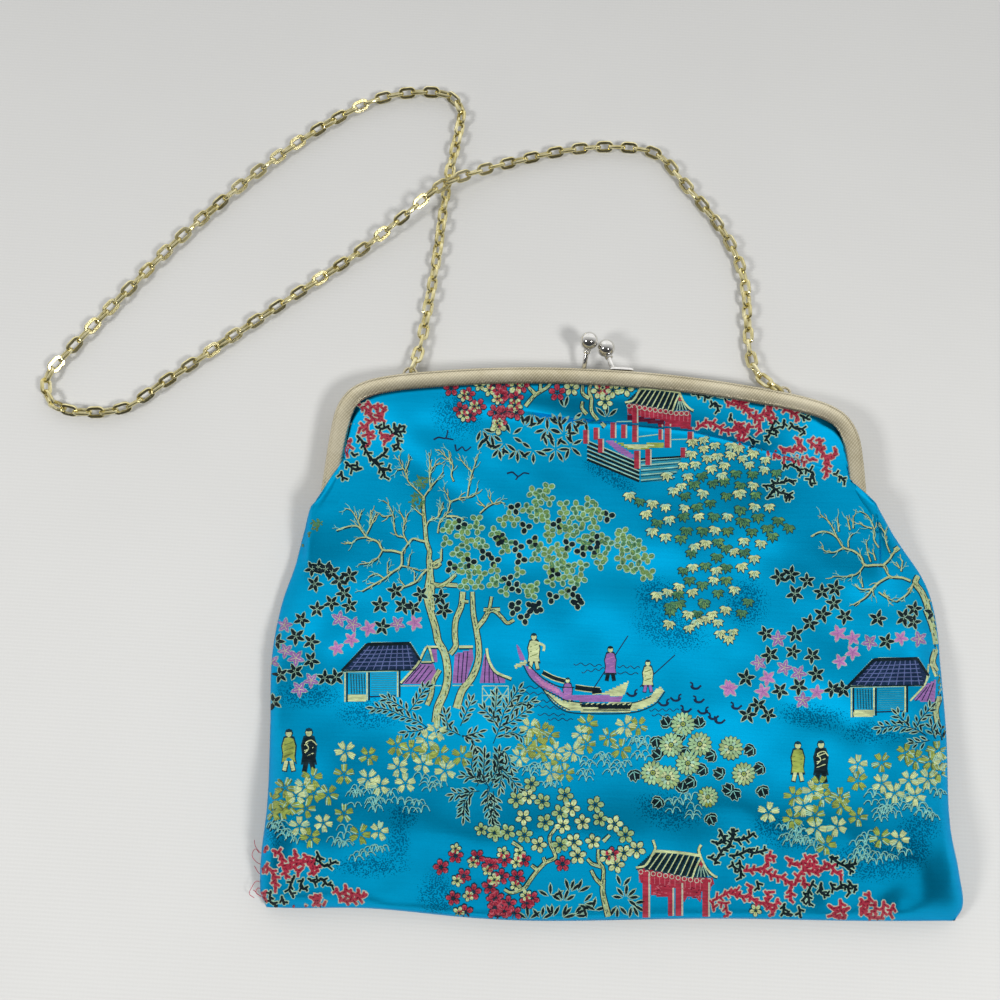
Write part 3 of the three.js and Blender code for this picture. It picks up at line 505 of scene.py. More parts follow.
def panel(back, S, T):
    """Middle surface of a panel: the evened-out sheet between its seams, then its fullness and folds."""
    e = (S + 1) / 2
    s1, t1 = S[0], T[:, 0]
    b, top = seam_bottom(s1)[None], panel_top(back, s1, False)[None]
    l, r = seam_side(True, t1)[:, None], seam_side(False, t1)[:, None]
    c00, c10 = seam_bottom([-1.0])[0], seam_bottom([1.0])[0]
    c01, c11 = panel_top(back, np.array([-1.0]), False)[0], panel_top(back, np.array([1.0]), False)[0]
    t3, e3 = T[..., None], e[..., None]
    p = (b + (top - b) * t3 + (l - (c00 + (c01 - c00) * t3)) * (1 - e3) ** SEAM_HOLD
         + (r - (c10 + (c11 - c10) * t3)) * e3 ** SEAM_HOLD)
    p = settle(p, T)
    side, low, high = (1 - np.abs(S)) * 108, T * 170, (1 - T) * 150
    if back:
        flat = smooth(np.minimum(np.minimum(side / 13, low / 12), high / 34))
        p[..., 2] += (CLOTH / 2 + 0.25 - p[..., 2]) * flat
    else:
        full = along(FULLNESS, 1, t1)[:, None]
        p[..., 2] += full * rise(side, 15) * rise(low, 26) * smooth(high / 30) ** 0.8
        p[..., 2] += 4.0 * smooth((np.abs(S) - 0.5) / 0.3) * np.exp(-(((T - 0.6) / 0.13) ** 2)) * rise(side, 15)
        near = smooth(np.minimum(np.minimum(side / 12, low / 8), high / 14))
        p[..., 2] += (fold_height(p[..., 0], p[..., 1]) + ripple(p[..., 0], p[..., 1])) * near
        step, over = crease_height(p[..., 0], p[..., 1])
        hold = smooth(high / 5) * smooth(side / 10)
        p[..., 2] += step * hold
        p[..., 1] += over * hold
        cover = arm_cover(p)
        blend = np.maximum(2.5 - np.abs(p[..., 2] - cover), 0) ** 2 / 10.0
        p[..., 2] = np.where(T < 1, np.maximum(p[..., 2], cover) + blend, p[..., 2])
    keep_clear(p, T, back)
    q = relax(p.copy(), 3)
    keep_clear(q, T, back)
    return q


def settle(p, T):
    """Lets the rows away from the upper edge forget its corners."""
    w = (smooth((0.985 - T) / 0.16) * 0.5)[..., None]
    for _ in range(260):
        q = p.copy()
        q[:, 1:-1] = p[:, 1:-1] + w[:, 1:-1] * (0.5 * (p[:, :-2] + p[:, 2:]) - p[:, 1:-1])
        p = q
    return p


def arm_cover(p):
    """Height at which the front passes over the lower ends of the arms, falling off all round."""
    z = np.full(p.shape[:2], -1e3)
    for sd, (_, yi, _, _) in COVER.items():
        ends = []
        for y in (yi - 3.0, ARM_END_Y):
            y = np.array([y])
            x = rim_x_at_y(1, y) if sd > 0 else -rim_x_at_y(-1, y)
            ends.append(np.array((sd * (x[0] - FRAME_BAND / 2), y[0])))
        a, b = ends
        u = b - a
        k = np.clip(((p[..., 0] - a[0]) * u[0] + (p[..., 1] - a[1]) * u[1]) / (u @ u), 0, 1)
        d = np.hypot(p[..., 0] - a[0] - k * u[0], p[..., 1] - a[1] - k * u[1])
        yy = np.maximum(p[..., 1], ARM_END_Y + 0.05)
        outer = rim_x_at_y(1, yy) if sd > 0 else -rim_x_at_y(-1, yy)
        past = np.maximum(sd * p[..., 0] - outer - 0.2, 0)
        z = np.maximum(z, TOP_Z + CLOTH / 2 + 1.3 - 0.0095 * np.maximum(d - FRAME_BAND / 2 - 0.8, 0) ** 2 - 0.45 * past ** 2)
    return z


def keep_clear(p, T, back):
    """Keeps a panel beside the arms, or over them where the front billows."""
    free = T < 1
    sd = np.where(p[..., 0] < 0, -1, 1)
    x = np.abs(p[..., 0])
    yy = np.maximum(p[..., 1], ARM_END_Y + 0.05)
    outer = np.where(sd > 0, rim_x_at_y(1, yy), -rim_x_at_y(-1, yy))
    inner = outer - FRAME_BAND - (2.0 if back else 0.9)
    hit = free & (p[..., 1] > ARM_END_Y - 1.2) & (p[..., 1] < 84) & (x > inner) & (x < outer + 1.6)
    for side_sign, (xi, yi, xo, yo) in COVER.items():
        edge = yi + (yo - yi) * np.clip((x - xi) / (xo - xi), 0, 1)
        here = hit & (sd == side_sign)
        over = here & (p[..., 1] <= edge) & (not back)
        p[..., 2] = np.where(over, np.maximum(p[..., 2], TOP_Z + CLOTH / 2 + 1.4), p[..., 2])
        p[..., 0] = np.where(here & ~over, side_sign * inner, p[..., 0])


def relax(p, times, lo=2, hi=3):
    """Even out a grid, leaving its borders where they are."""
    for _ in range(times):
        q = p.copy()
        q[1:-1, 1:-1] = 0.5 * p[1:-1, 1:-1] + 0.125 * (p[:-2, 1:-1] + p[2:, 1:-1] + p[1:-1, :-2] + p[1:-1, 2:])
        p[lo:-hi, 1:-1] = q[lo:-hi, 1:-1]
    return p


def spread(n, q):
    """Steps from 0 to 1, closer together near both ends."""
    u = np.linspace(0, 1, n)
    return u + q * np.sin(2 * math.pi * u) / (2 * math.pi) * -1


BAG_COLS = 2 * spread(161, 0.45) - 1
_t = np.linspace(0, 1, 4001)
_dense = np.cumsum(1 + 1.9 * smooth((_t - 0.76) / 0.05) * smooth((0.985 - _t) / 0.03) + 0.9 * np.exp(-_t / 0.04) + 0.9 * np.exp((_t - 1) / 0.02))
BAG_ROWS = np.interp(np.linspace(0, 1, 120), (_dense - _dense[0]) / (_dense[-1] - _dense[0]), _t)


def bag_grids():
    S, T = np.meshgrid(BAG_COLS, BAG_ROWS)
    grids = []
    for back in (False, True):
        g = panel(back, S, T)
        deep = panel_top(back, BAG_COLS, True)
        last = g[-1]
        mid = 0.5 * (last + deep)
        grids.append(np.concatenate([g, mid[None], deep[None]]))
    return grids


def grid_normals(g, back):
    n = np.cross(np.gradient(g, axis=1), np.gradient(g, axis=0))
    n /= np.maximum(np.linalg.norm(n, axis=-1, keepdims=True), 1e-9)
    return -n if back else n


def build_bag():
    panels = bag_grids()
    norms = [grid_normals(panels[0], False), grid_normals(panels[1], True)]
    nr, nc = panels[0].shape[:2]
    verts, index = [], np.zeros((2, 2, nr, nc), int)
    seam = np.zeros((nr, nc), bool)
    seam[0], seam[:, 0], seam[:, -1] = True, True, True
    count = 0
    for layer in range(2):
        for side in range(2):
            g, n = panels[side], norms[side]
            pts = g + n * ((-1 if layer else 1) * CLOTH / 2)
            if side == 0:
                jj = np.clip(np.arange(nr), 3, None)
                ii = np.clip(np.arange(nc), 3, nc - 4)
                mid = 0.5 * (panels[0][jj][:, ii] + panels[1][jj][:, ii])
                out = g - mid
                out[..., 2] = 0
                out /= np.maximum(np.linalg.norm(out, axis=-1, keepdims=True), 1e-9)
                pts = np.where(seam[..., None], g + out * (-SEAM_IN if layer else SEAM_OUT), pts)
                index[layer, side] = np.arange(count, count + nr * nc).reshape(nr, nc)
                verts.append(pts.reshape(-1, 3))
                count += nr * nc
            else:
                keep = ~seam
                ids = np.where(seam, index[layer, 0], 0)
                ids[keep] = np.arange(count, count + keep.sum())
                index[layer, side] = ids
                verts.append(pts[keep])
                count += int(keep.sum())
    faces = []
    for layer in range(2):
        for side in range(2):
            k = index[layer, side]
            a, b, c, d = k[:-1, :-1].ravel(), k[:-1, 1:].ravel(), k[1:, 1:].ravel(), k[1:, :-1].ravel()
            quad = np.stack([a, b, c, d], -1) if layer == side else np.stack([a, d, c, b], -1)
            faces.append(quad)
    for side in range(2):
        o, i = index[0, side][-1], index[1, side][-1]
        q = np.stack([o[:-1], o[1:], i[1:], i[:-1]], -1)
        faces.append(q if side == 0 else q[:, ::-1])
    v = np.vstack(verts)
    f = np.vstack(faces)
    return v, f, panels, norms


bag_v, bag_f, bag_panels, bag_norms = build_bag()
bag = mesh_object("bag_cloth", bag_v, bag_f, MAT_SATIN)
outward(bag)
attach(bag, "root")
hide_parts("bag_body")


# ------------------------------------------------------------------ the woven landscape: raised silk pads on the cloth
# The pattern is charted in a 1000 x 1000 view of the front, then laid on the cloth along that view.
CAM_AT, CAM_TO, CAM_F = np.array((-27.115, -44.967, 358.334)), np.array((-32.475, 50.899, 0.0)), 1045.0
_d = (CAM_TO - CAM_AT) / np.linalg.norm(CAM_TO - CAM_AT)
_r = np.cross(_d, (0, 0, 1.0))
_r /= np.linalg.norm(_r)
_u = np.cross(_r, _d)


def view_ray(uv):
    uv = np.asarray(uv, float)
    k = _d + (uv[..., :1] - 500) / CAM_F * _r - (uv[..., 1:2] - 500) / CAM_F * _u
    return k / np.linalg.norm(k, axis=-1, keepdims=True)


class Cloth:
    """Looks up points and normals of one face of the bag; a coarse grid tells where the cloth is."""
    def __init__(self, tree, lo, hi, step, cast):
        self.tree, self.cast, self.lo, self.step = tree, cast, np.array(lo, float), step
        nx, ny = int((hi[0] - lo[0]) / step) + 1, int((hi[1] - lo[1]) / step) + 1
        gx, gy = np.meshgrid(lo[0] + step * np.arange(nx), lo[1] + step * np.arange(ny))
        p, _ = self.at(np.stack([gx.ravel(), gy.ravel()], -1))
        self.hit = ~np.isnan(p[:, 0]).reshape(ny, nx)

    def inside(self, q):
        g = np.rint((np.asarray(q, float) - self.lo) / self.step).astype(int)
        ny, nx = self.hit.shape
        ok = (g[:, 0] >= 0) & (g[:, 1] >= 0) & (g[:, 0] < nx) & (g[:, 1] < ny)
        return ok & self.hit[np.clip(g[:, 1], 0, ny - 1), np.clip(g[:, 0], 0, nx - 1)]

    def at(self, q):
        starts, dirs = self.cast(np.asarray(q, float))
        p, n = np.full((len(q), 3), np.nan), np.full((len(q), 3), np.nan)
        ray = self.tree.ray_cast
        for i, (a, d) in enumerate(zip(starts.tolist(), dirs.tolist())):
            hit, nrm, _, _ = ray(a, d)
            if hit is not None:
                p[i], n[i] = hit, nrm
        return p, n


_nr, _nc = bag_panels[0].shape[:2]
_quads = (_nr - 1) * (_nc - 1)


def face_tree(block):
    f = bag_f[block * _quads:(block + 1) * _quads]
    used, inv = np.unique(f, return_inverse=True)
    return BVHTree.FromPolygons([Vector(v) for v in bag_v[used]], [tuple(int(k) for k in q) for q in inv.reshape(f.shape)])


def from_view(g):
    return np.broadcast_to(CAM_AT, (len(g), 3)), view_ray(g)


def from_below(g):
    return np.concatenate([g, np.full((len(g), 1), -30.0)], -1), np.broadcast_to((0, 0, 1.0), (len(g), 3))


FRONT = Cloth(face_tree(0), (238, 352), (982, 940), 1.0, from_view)
BACK = Cloth(face_tree(1), (-110, -92), (126, 96), 2.0, from_below)

threads = {}
_level = [0.05]


def layer(k):
    """Each group of motifs lies a little higher than the one before."""
    _level[0] = 0.045 + 0.0045 * k


def lay(colour, pts, lift, faces, back=True):
    threads.setdefault(colour, []).append((np.asarray(pts, float), np.asarray(lift, float) + _level[0], np.asarray(faces, int), back))


def pad(colour, poly, up=0.0, back=True):
    """Small raised pad with a slightly domed top, over a convex or star-shaped outline."""
    p = np.asarray(poly, float)
    n = len(p)
    c = p.mean(0)
    out = p + (p - c) / np.maximum(np.linalg.norm(p - c, axis=1, keepdims=True), 1e-6) * 0.18
    pts = np.vstack([c[None], p, out, c[None]])
    lift = np.concatenate([[up + 0.05], np.full(n, up), np.full(n, -0.16 - _level[0]), [-0.16 - _level[0]]])
    i = np.arange(n)
    j = (i + 1) % n
    f = np.vstack([np.stack([np.zeros(n, int), 1 + i, 1 + j], -1), np.stack([1 + i, 1 + n + i, 1 + n + j], -1),
                   np.stack([1 + i, 1 + n + j, 1 + j], -1), np.stack([np.full(n, 2 * n + 1), 1 + n + j, 1 + n + i], -1)])
    lay(colour, pts, lift, f, back)


def curve(points, step=3.0):
    p = np.asarray(points, float)
    if uneven(p):
        step = min(step, 1.3)
    if len(p) > 2:
        p = catmull(p, 8)
    path = Path(p)
    n = max(2, int(math.ceil(path.length / step)) + 1)
    return path.at(np.linspace(0, path.length, n))


def uneven(p):
    """Whether the cloth under these points bends sharply."""
    x, y = p.mean(0)
    return p[:, 0].max() > 895 or p[:, 0].min() < 315 or p[:, 1].max() > 895 or 395 < y < 505 or (y < 640 and (x > 790 or x < 400))


def sparse(p):
    """Indices of the points that hold the shape of a line."""
    reach = 2.7 if uneven(p) else 7.0
    keep, i, n = [0], 0, len(p)
    while i < n - 1:
        j = i + 1
        while j + 1 < n:
            c = p[j + 1] - p[i]
            ln = math.hypot(*c)
            m = p[i + 1:j + 1] - p[i]
            if ln > reach or np.abs(m[:, 0] * c[1] - m[:, 1] * c[0]).max() > 0.14 * ln:
                break
            j += 1
        keep.append(j)
        i = j
    return np.array(keep)


def stroke(colour, points, width, up=0.0, step=3.0, taper=(1.0, 1.0), raw=False, back=True):
    """Line of thread; width may be one number, tapered to both ends."""
    p = np.asarray(points, float) if raw else curve(points, step)
    n = len(p)
    t = np.gradient(p, axis=0)
    t /= np.maximum(np.linalg.norm(t, axis=1, keepdims=True), 1e-9)
    s = np.stack([-t[:, 1], t[:, 0]], -1)
    q = np.linspace(0, 1, n)
    w = 0.5 * width * (taper[0] + (taper[1] - taper[0]) * q)
    w = np.maximum(w, 0.2)[:, None]
    keep = sparse(p)
    p, s, w = p[keep], s[keep], w[keep]
    a, b = p + s * w, p - s * w
    pts = np.stack([a, b, b - s * 0.12, a + s * 0.12], 1)
    on_cloth = FRONT.inside(a + s) & FRONT.inside(b - s)
    if uneven(p) or not on_cloth.all():
        found, _ = FRONT.at(np.concatenate([a + s * 0.12, b - s * 0.12]))
        on_cloth = ~np.isnan(found[:, 0]).reshape(2, -1).any(0)
        reach = np.linalg.norm(np.diff(found.reshape(2, -1, 3), axis=1), axis=-1).max(0)
        torn = reach > 0.65 * np.linalg.norm(np.diff(p, axis=0), axis=1) + 0.45
        across = np.linalg.norm(found[:len(p)] - found[len(p):], axis=1) > 0.65 * 2 * (w[:, 0] + 0.12) + 0.45
        on_cloth &= ~across
        torn = np.flatnonzero(torn)
    else:
        torn = []
    edges = np.flatnonzero(np.diff(np.concatenate([[False], on_cloth, [False]]).astype(int)))
    for i, j in zip(edges[::2], edges[1::2]):
        cuts = [i] + [k + 1 for k in torn if i <= k < j - 1] + [j]
        for m, n in zip(cuts[:-1], cuts[1:]):
            if n - m > 1:
                bar(colour, pts[m:n], up, back)


def bar(colour, pts, up, back):
    n = len(pts)
    lift = np.tile([up, up, -0.16 - _level[0], -0.16 - _level[0]], (n, 1))
    ids = np.arange(4 * n).reshape(n, 4)
    f = []
    for k in range(4):
        k2 = (k + 1) % 4
        f.append(np.stack([ids[:-1, k], ids[:-1, k2], ids[1:, k2]], -1))
        f.append(np.stack([ids[:-1, k], ids[1:, k2], ids[1:, k]], -1))
    f.append(np.array([[ids[0, 0], ids[0, 3], ids[0, 2]], [ids[0, 0], ids[0, 2], ids[0, 1]],
                       [ids[-1, 0], ids[-1, 1], ids[-1, 2]], [ids[-1, 0], ids[-1, 2], ids[-1, 3]]]))
    lay(colour, pts.reshape(-1, 2), lift.ravel(), np.vstack(f), back)


def fill(colour, polygon, up=0.0, step=1.7, back=True):
    """Area filled with rows of weft thread."""
    p = np.asarray(polygon, float)
    y = p[:, 1].min() + step / 2
    while y < p[:, 1].max():
        xs = []
        for a, b in zip(p, np.roll(p, -1, 0)):
            if (a[1] <= y) != (b[1] <= y):
                xs.append(a[0] + (y - a[1]) / (b[1] - a[1]) * (b[0] - a[0]))
        xs.sort()
        for x0, x1 in zip(xs[::2], xs[1::2]):
            if x1 - x0 > 0.7:
                stroke(colour, [(x0, y), (x1, y)], step * 0.96, up, 4.0, back=back)
        y += step


def ellipse(c, rx, ry, rot=0.0, n=8):
    a = np.linspace(0, 2 * math.pi, n, endpoint=False)
    x, y = rx * np.cos(a), ry * np.sin(a)
    co, si = math.cos(rot), math.sin(rot)
    return np.stack([c[0] + x * co - y * si, c[1] + x * si + y * co], -1)


def around(c, r, ang):
    return np.array((c[0] + r * math.cos(ang), c[1] + r * math.sin(ang)))


# ---- motifs
PETAL = np.array([(0, 0), (0.28, 0.42), (0.52, 0.5), (0.8, 0.26), (1, 0), (0.8, -0.26), (0.52, -0.5), (0.28, -0.42)])


PLAIN = np.array([(0, 0), (0.36, 0.5), (0.76, 0.34), (1, 0), (0.76, -0.34), (0.36, -0.5)])


def petal(colour, c, ang, length, width, up=0.0, start=0.0, back=True, shape=PETAL):
    """Pointed petal growing from c."""
    x, y = np.array((math.cos(ang), math.sin(ang))), np.array((-math.sin(ang), math.cos(ang)))
    pad(colour, [np.asarray(c) + x * (start + u * (length - start)) + y * v * width for u, v in shape], up, back)


def star_leaf(c, R=8.8):
    rot = random.uniform(0, 6.28)
    R *= random.uniform(0.9, 1.08)
    turns = [rot + k * 1.2566 + random.uniform(-0.14, 0.14) for k in range(5)]
    for a in turns:
        petal("mint", c, a, R + 0.9, R * 0.44 + 1.35, shape=PLAIN)
    for a in turns:
        petal("black", c, a, R, R * 0.44, 0.07, shape=PLAIN)
    for a in turns:
        stroke("mint", [around(c, 0.4, a + 0.63), around(c, R * 0.3, a + 0.63)], 0.45, 0.125, 4, back=False)


def lilac_flower(c, R=8.6):
    rot = random.uniform(0, 6.28)
    R *= random.uniform(0.9, 1.06)
    k = random.choice(("lilac", "pink", "pink"))
    for j in range(5):
        petal("mint", c, rot + j * 1.2566, R + 0.6, R * 0.5 + 1.0, shape=PLAIN)
    for j in range(5):
        petal(k, c, rot + j * 1.2566, R, R * 0.5, 0.07)
    for j in range(5):
        a = rot + j * 1.2566
        stroke("cream" if k == "lilac" else "lilac", [around(c, 0.4, a), around(c, R * 0.6, a)], 0.5, 0.125, 4, back=False)


def trefoil(c, colour="green", rot=None):
    rot = random.uniform(0, 6.28) if rot is None else rot
    dark = colour == "black"
    r, rx, ry = (3.8, 3.1, 2.6) if dark else (3.5, 2.8, 2.2)
    lobes = [(around(c, r, rot + k * 2.094), rot + k * 2.094) for k in range(3)]
    for q, a in lobes:
        pad("mint", ellipse(q, rx + 0.8, ry + 0.8, a, 8))
    for q, a in lobes:
        pad(colour if dark else random.choice(("green", "green", "leaf", "leaf")), ellipse(q, rx, ry, a, 8), 0.07)
        if not dark:
            stroke("lime" if random.random() < 0.6 else "deep", [around(c, 1.4, a), around(c, r + 1.2, a)], 0.5, 0.125, 4, back=False)


def maple(c, colour, size=1.0):
    """Leaf of five lobes hanging from its stalk."""
    size *= random.uniform(0.92, 1.08)
    tilt = math.pi / 2 + random.uniform(-0.3, 0.3)
    top = np.asarray(c) - size * 4.0 * np.array((math.cos(tilt), math.sin(tilt)))
    lobes = [(tilt + k, ln * size) for k, ln in ((-1.25, 6.6), (-0.62, 8.2), (0, 9.0), (0.62, 8.2), (1.25, 6.6))]
    for a, ln in lobes:
        petal("deep", top, a, ln + 0.8, 3.0 * size + 1.3, back=False, shape=PLAIN)
    for a, ln in lobes:
        petal(colour if random.random() < 0.75 else ("mint" if colour == "cream" else "leaf"), top, a, ln, 3.0 * size, 0.07)
    for a, ln in lobes[1:4]:
        stroke("olive" if colour == "cream" else "deep", [around(top, 1.2, a), around(top, ln * 0.7, a)], 0.42, 0.125, 4, back=False)


def petals(c, colour, R, n, rot, wide=0.36, long=0.42, off=0.56, edge_c=None, edge=0.8):
    for k in range(n):
        a = rot + k * 2 * math.pi / n
        q = around(c, R * off, a)
        if edge_c:
            pad(edge_c, ellipse(q, R * long + edge, R * wide + edge, a, 6), 0.0, False)
    for k in range(n):
        a = rot + k * 2 * math.pi / n
        pad(colour, ellipse(around(c, R * off, a), R * long, R * wide, a, 8), 0.07)


def notch_flower(c, colour, R=11.0):
    """Five broad notched petals, each of a few floats with open satin between them."""
    c = np.asarray(c, float)
    rot = random.uniform(0, 6.28)
    R *= random.uniform(0.9, 1.06)
    light, mid = ("cream", "pale") if colour == "cream" else ("lime", "olive")
    for k in range(5):
        a = rot + k * 1.2566 + random.uniform(-0.12, 0.12)
        x, y = np.array((math.cos(a), math.sin(a))), np.array((-math.sin(a), math.cos(a)))
        sh = [(0.14, 0), (0.5, 0.25), (0.9, 0.27), (0.86, 0), (0.9, -0.27), (0.5, -0.25)]
        pad(mid, [c + R * (u * x + v * y) for u, v in sh], 0.04)
        for v in (-0.19, -0.02, 0.16):
            stroke(light if random.random() < 0.8 else "mint", [c + R * (0.3 * x + v * 0.6 * y), c + R * (random.uniform(0.84, 1.0) * x + v * y)], 1.05, 0.1, 9, back=v < 0)


def blossom(c, colour, R=8.6):
    """Five round petals with dark gaps between them."""
    rot = random.uniform(0, 6.28)
    R *= random.uniform(0.92, 1.08)
    petals(c, colour, R, 5, rot, 0.29, 0.36, 0.6, "deep", 0.9)
    pad("deep", ellipse(c, 1.3, 1.3, 0, 6), 0.12, False)
    for k in range(5):
        a = rot + k * 1.2566
        tip = {"red": "wine", "cream": "lime", "pale": "olive"}[colour]
        stroke(tip, [around(c, R * 0.2, a), around(c, R * 0.62, a)], 0.6, 0.125, 4, back=False)
        stroke("rose" if colour == "red" else "mint", [around(c, R * 0.86, a - 0.24), around(c, R * 0.86, a + 0.24)], 0.6, 0.125, 4, back=False)


def mum(c, R=12.5, colour="pale"):
    """Many-petalled rosette in two rings of blunt petals."""
    rot = random.uniform(0, 6.28)
    for n, r, rx, ry, up in ((15, 0.72, 0.27, 0.145, 0.05), (10, 0.4, 0.2, 0.12, 0.12)):
        for k in range(n):
            a = rot + k * 2 * math.pi / n
            pad("deep", ellipse(around(c, R * r, a), R * rx + 0.55, R * ry + 0.55, a, 6), up - 0.03, False)
        for k in range(n):
            a = rot + k * 2 * math.pi / n
            pad(random.choice(("sage", "sage", colour) if up < 0.1 else ("sage", "mint", "cream")), ellipse(around(c, R * r, a), R * rx, R * ry, a, 6), up + 0.04)
    pad("deep", ellipse(c, R * 0.24, R * 0.24, 0, 8), 0.15, False)
    pad("lime", ellipse(c, R * 0.17, R * 0.17, 0, 8), 0.18)
    pad("deep", ellipse(c, R * 0.07, R * 0.07, 0, 6), 0.21, False)


def dark_leaf(c, rot=None, size=1.0):
    """Dark lobed leaf with pale veins."""
    rot = random.uniform(0, 6.28) if rot is None else rot
    size *= 1.18
    lobes = ((-1.0, 6.5), (-0.45, 8.4), (0, 9.4), (0.45, 8.4), (1.0, 6.5))
    for k, ln in lobes:
        pad("mint", ellipse(around(c, ln * 0.45 * size, rot + k), ln * 0.56 * size + 0.55, 2.3 * size + 0.55, rot + k, 6), 0.0, False)
    for k, ln in lobes:
        pad("black", ellipse(around(c, ln * 0.45 * size, rot + k), ln * 0.56 * size, 2.3 * size, rot + k, 6), 0.06 + 0.004 * abs(k))
    for k, ln in lobes[::2]:
        stroke("frost", [around(c, 0.6, rot + k), around(c, ln * 0.82 * size, rot + k)], 0.8, 0.16, 9, back=False)


def lens(c, ang, L=13.5, W=4.5, edge_c="mint", fill_c="black"):
    c = np.asarray(c, float)
    x, y = np.array((math.cos(ang), math.sin(ang))), np.array((-math.sin(ang), math.cos(ang)))
    prof = [(-0.5, 0), (-0.16, 0.44), (0.2, 0.44), (0.5, 0), (0.2, -0.44), (-0.16, -0.44)]
    pad(edge_c, [c + L * u * x + W * v * y for u, v in prof])
    pad(fill_c, [c + (L - 2.6) * u * x + (W - 1.5) * v * y for u, v in prof], 0.07)


def leaf_fan(c, n, start, sweep, L=13.5):
    for k in range(n):
        a = start + sweep * (k / max(1, n - 1)) + random.uniform(-0.1, 0.1)
        lens(around(c, L * 0.62, a), a, L * random.uniform(0.85, 1.08))


def spray(points, L=10.5, gap=6.4, first=0.1):
    """Stem with narrow leaves on both sides."""
    path = Path(curve(points, 2.0))
    stroke("deep", path.p, 0.8, 0.02, raw=True)
    d, side = path.length * first, 1
    while d < path.length:
        p, t = path.at(d), path.dir(d, 1.0)
        a = math.atan2(t[1], t[0]) + side * random.uniform(0.55, 0.85)
        lens(around(p, L * 0.5, a), a, L * random.uniform(0.8, 1.1), 3.6, "frost" if random.random() < 0.6 else "mint")
        d += gap * 0.5
        side = -side
    t = path.dir(path.length)
    a = math.atan2(t[1], t[0])
    lens(around(path.p[-1], L * 0.4, a), a, L, 3.6)


def grass(points, teeth=6, ln=7.5):
    """Tuft of arching blades that droop at their tips."""
    path = Path(curve(points, 2.0))
    for k in range(teeth):
        p = path.at(path.length * (0.08 + 0.84 * (k + 0.5) / teeth)) + (0, random.uniform(-2, 3))
        for side in (-1, 1):
            r, h = side * ln * random.uniform(0.7, 1.15), ln * random.uniform(0.55, 0.95)
            line = np.array([p, p + (0.28 * r, -h), p + (0.72 * r, -h * 0.95), p + (1.1 * r, -h * 0.2)])
            stroke("frost", line, 0.95, 0.02, 2.5, (1, 0.6))
            stroke("deep", line + (0.4, 0.9), 0.5, 0.0, 3.5, back=False)


def coral(colour, paths, w=4.6):
    """Knobbly branching growth with a pale outline."""
    w *= 0.66
    for pts in paths:
        p = curve(pts, 2.4)
        p = p + np.array([(random.uniform(-0.5, 0.5), random.uniform(-0.5, 0.5)) for _ in p])
        path = Path(p)
        twigs, d, s = [], random.uniform(1.5, 3.5), random.choice((-1, 1))
        while d < path.length:
            t = path.dir(d)
            a = math.atan2(t[1], t[0]) + s * random.uniform(0.75, 1.25)
            q = path.at(d)
            twigs.append((q, around(q, random.uniform(3.6, 5.4), a)))
            d += random.uniform(3.0, 4.6)
            s = -s
        edge = "rim" if colour == "red" else "mint"
        stroke(edge, p, w + 1.7, 0.0, raw=True)
        for q in (p[0], p[-1]):
            pad(edge, ellipse(q, w * 0.5 + 0.9, w * 0.5 + 0.9, 0, 6), 0.0)
        for q, e in twigs:
            stroke(edge, [q, e + (e - q) / np.linalg.norm(e - q) * (w * 0.41 + 0.8)], w * 0.82 + 1.6, 0.004, 9, back=False)
        stroke(colour, p, w, 0.07, raw=True)
        for q in (p[0], p[-1]):
            pad(colour, ellipse(q, w * 0.5, w * 0.5, 0, 6), 0.06)
        for q, e in twigs:
            stroke(colour, [q, e], w * 0.82, 0.075, 9)
            pad(colour, ellipse(e, w * 0.42, w * 0.42, 0, 6), 0.07)
        if colour == "red":
            for q, e in twigs:
                stroke("wine", [q, (q + e) / 2], 0.6, 0.125, 4, back=False)


def branch(points, w0, w1, twigs=0, ln=8.0):
    """Pale branch with a dark edge, and side twigs near its end."""
    p = curve(points, 2.2)
    stroke("deep", p + (0.5, 0.6), w0 + 0.8, 0.0, raw=True, taper=(1, max(0.25, (w1 + 0.7) / (w0 + 0.8))), back=False)
    stroke("bark", p, w0 * 0.72, 0.06, raw=True, taper=(1, w1 / w0 * 0.8))
    path = Path(p)
    side = random.choice((-1, 1))
    for k in range(twigs):
        d = path.length * (0.16 + 0.84 * (k + random.random()) / twigs)
        q, t = path.at(d), path.dir(d)
        side = -side if random.random() < 0.75 else side
        a = math.atan2(t[1], t[0]) + side * random.uniform(0.4, 0.8)
        l = ln * random.uniform(0.7, 1.5)
        e = around(q, l, a - side * 0.25)
        m = around(q, l * 0.5, a)
        stroke("deep", np.array([q, m, e]) + (0.45, 0.55), 0.6, 0.0, 2.5, (1, 0.5), back=False)
        stroke("bark" if random.random() < 0.35 else "frost", [q, m, e], 0.85, 0.05, 2.5, (1, 0.5))
        if random.random() < 0.45:
            stroke("frost", [m, around(m, l * 0.45, a + side * 0.6)], 0.65, 0.045, 9, (1, 0.6), back=False)


def trunk(points, w0, w1):
    p = curve(points, 2.0)
    w0, w1 = w0 * 0.9, w1 * 0.9
    stroke("deep", p, w0 + 2.0, 0.0, raw=True, taper=(1, (w1 + 2.0) / (w0 + 2.0)))
    stroke("bark", p, w0, 0.06, raw=True, taper=(1, w1 / w0))
    path = Path(p)
    for d in np.arange(1.5, path.length - 1, 1.9):
        t = path.dir(d)
        w = w0 + (w1 - w0) * d / path.length
        n = np.array((-t[1], t[0]))
        q = path.at(d) + n * w * random.uniform(-0.32, 0.32)
        l = random.uniform(1.5, 3.6)
        stroke(random.choice(("olive", "pale", "deep", "mint")), [q - t * l * 0.5, q + t * l * 0.5], random.uniform(0.5, 0.85), 0.1, 9, back=False)


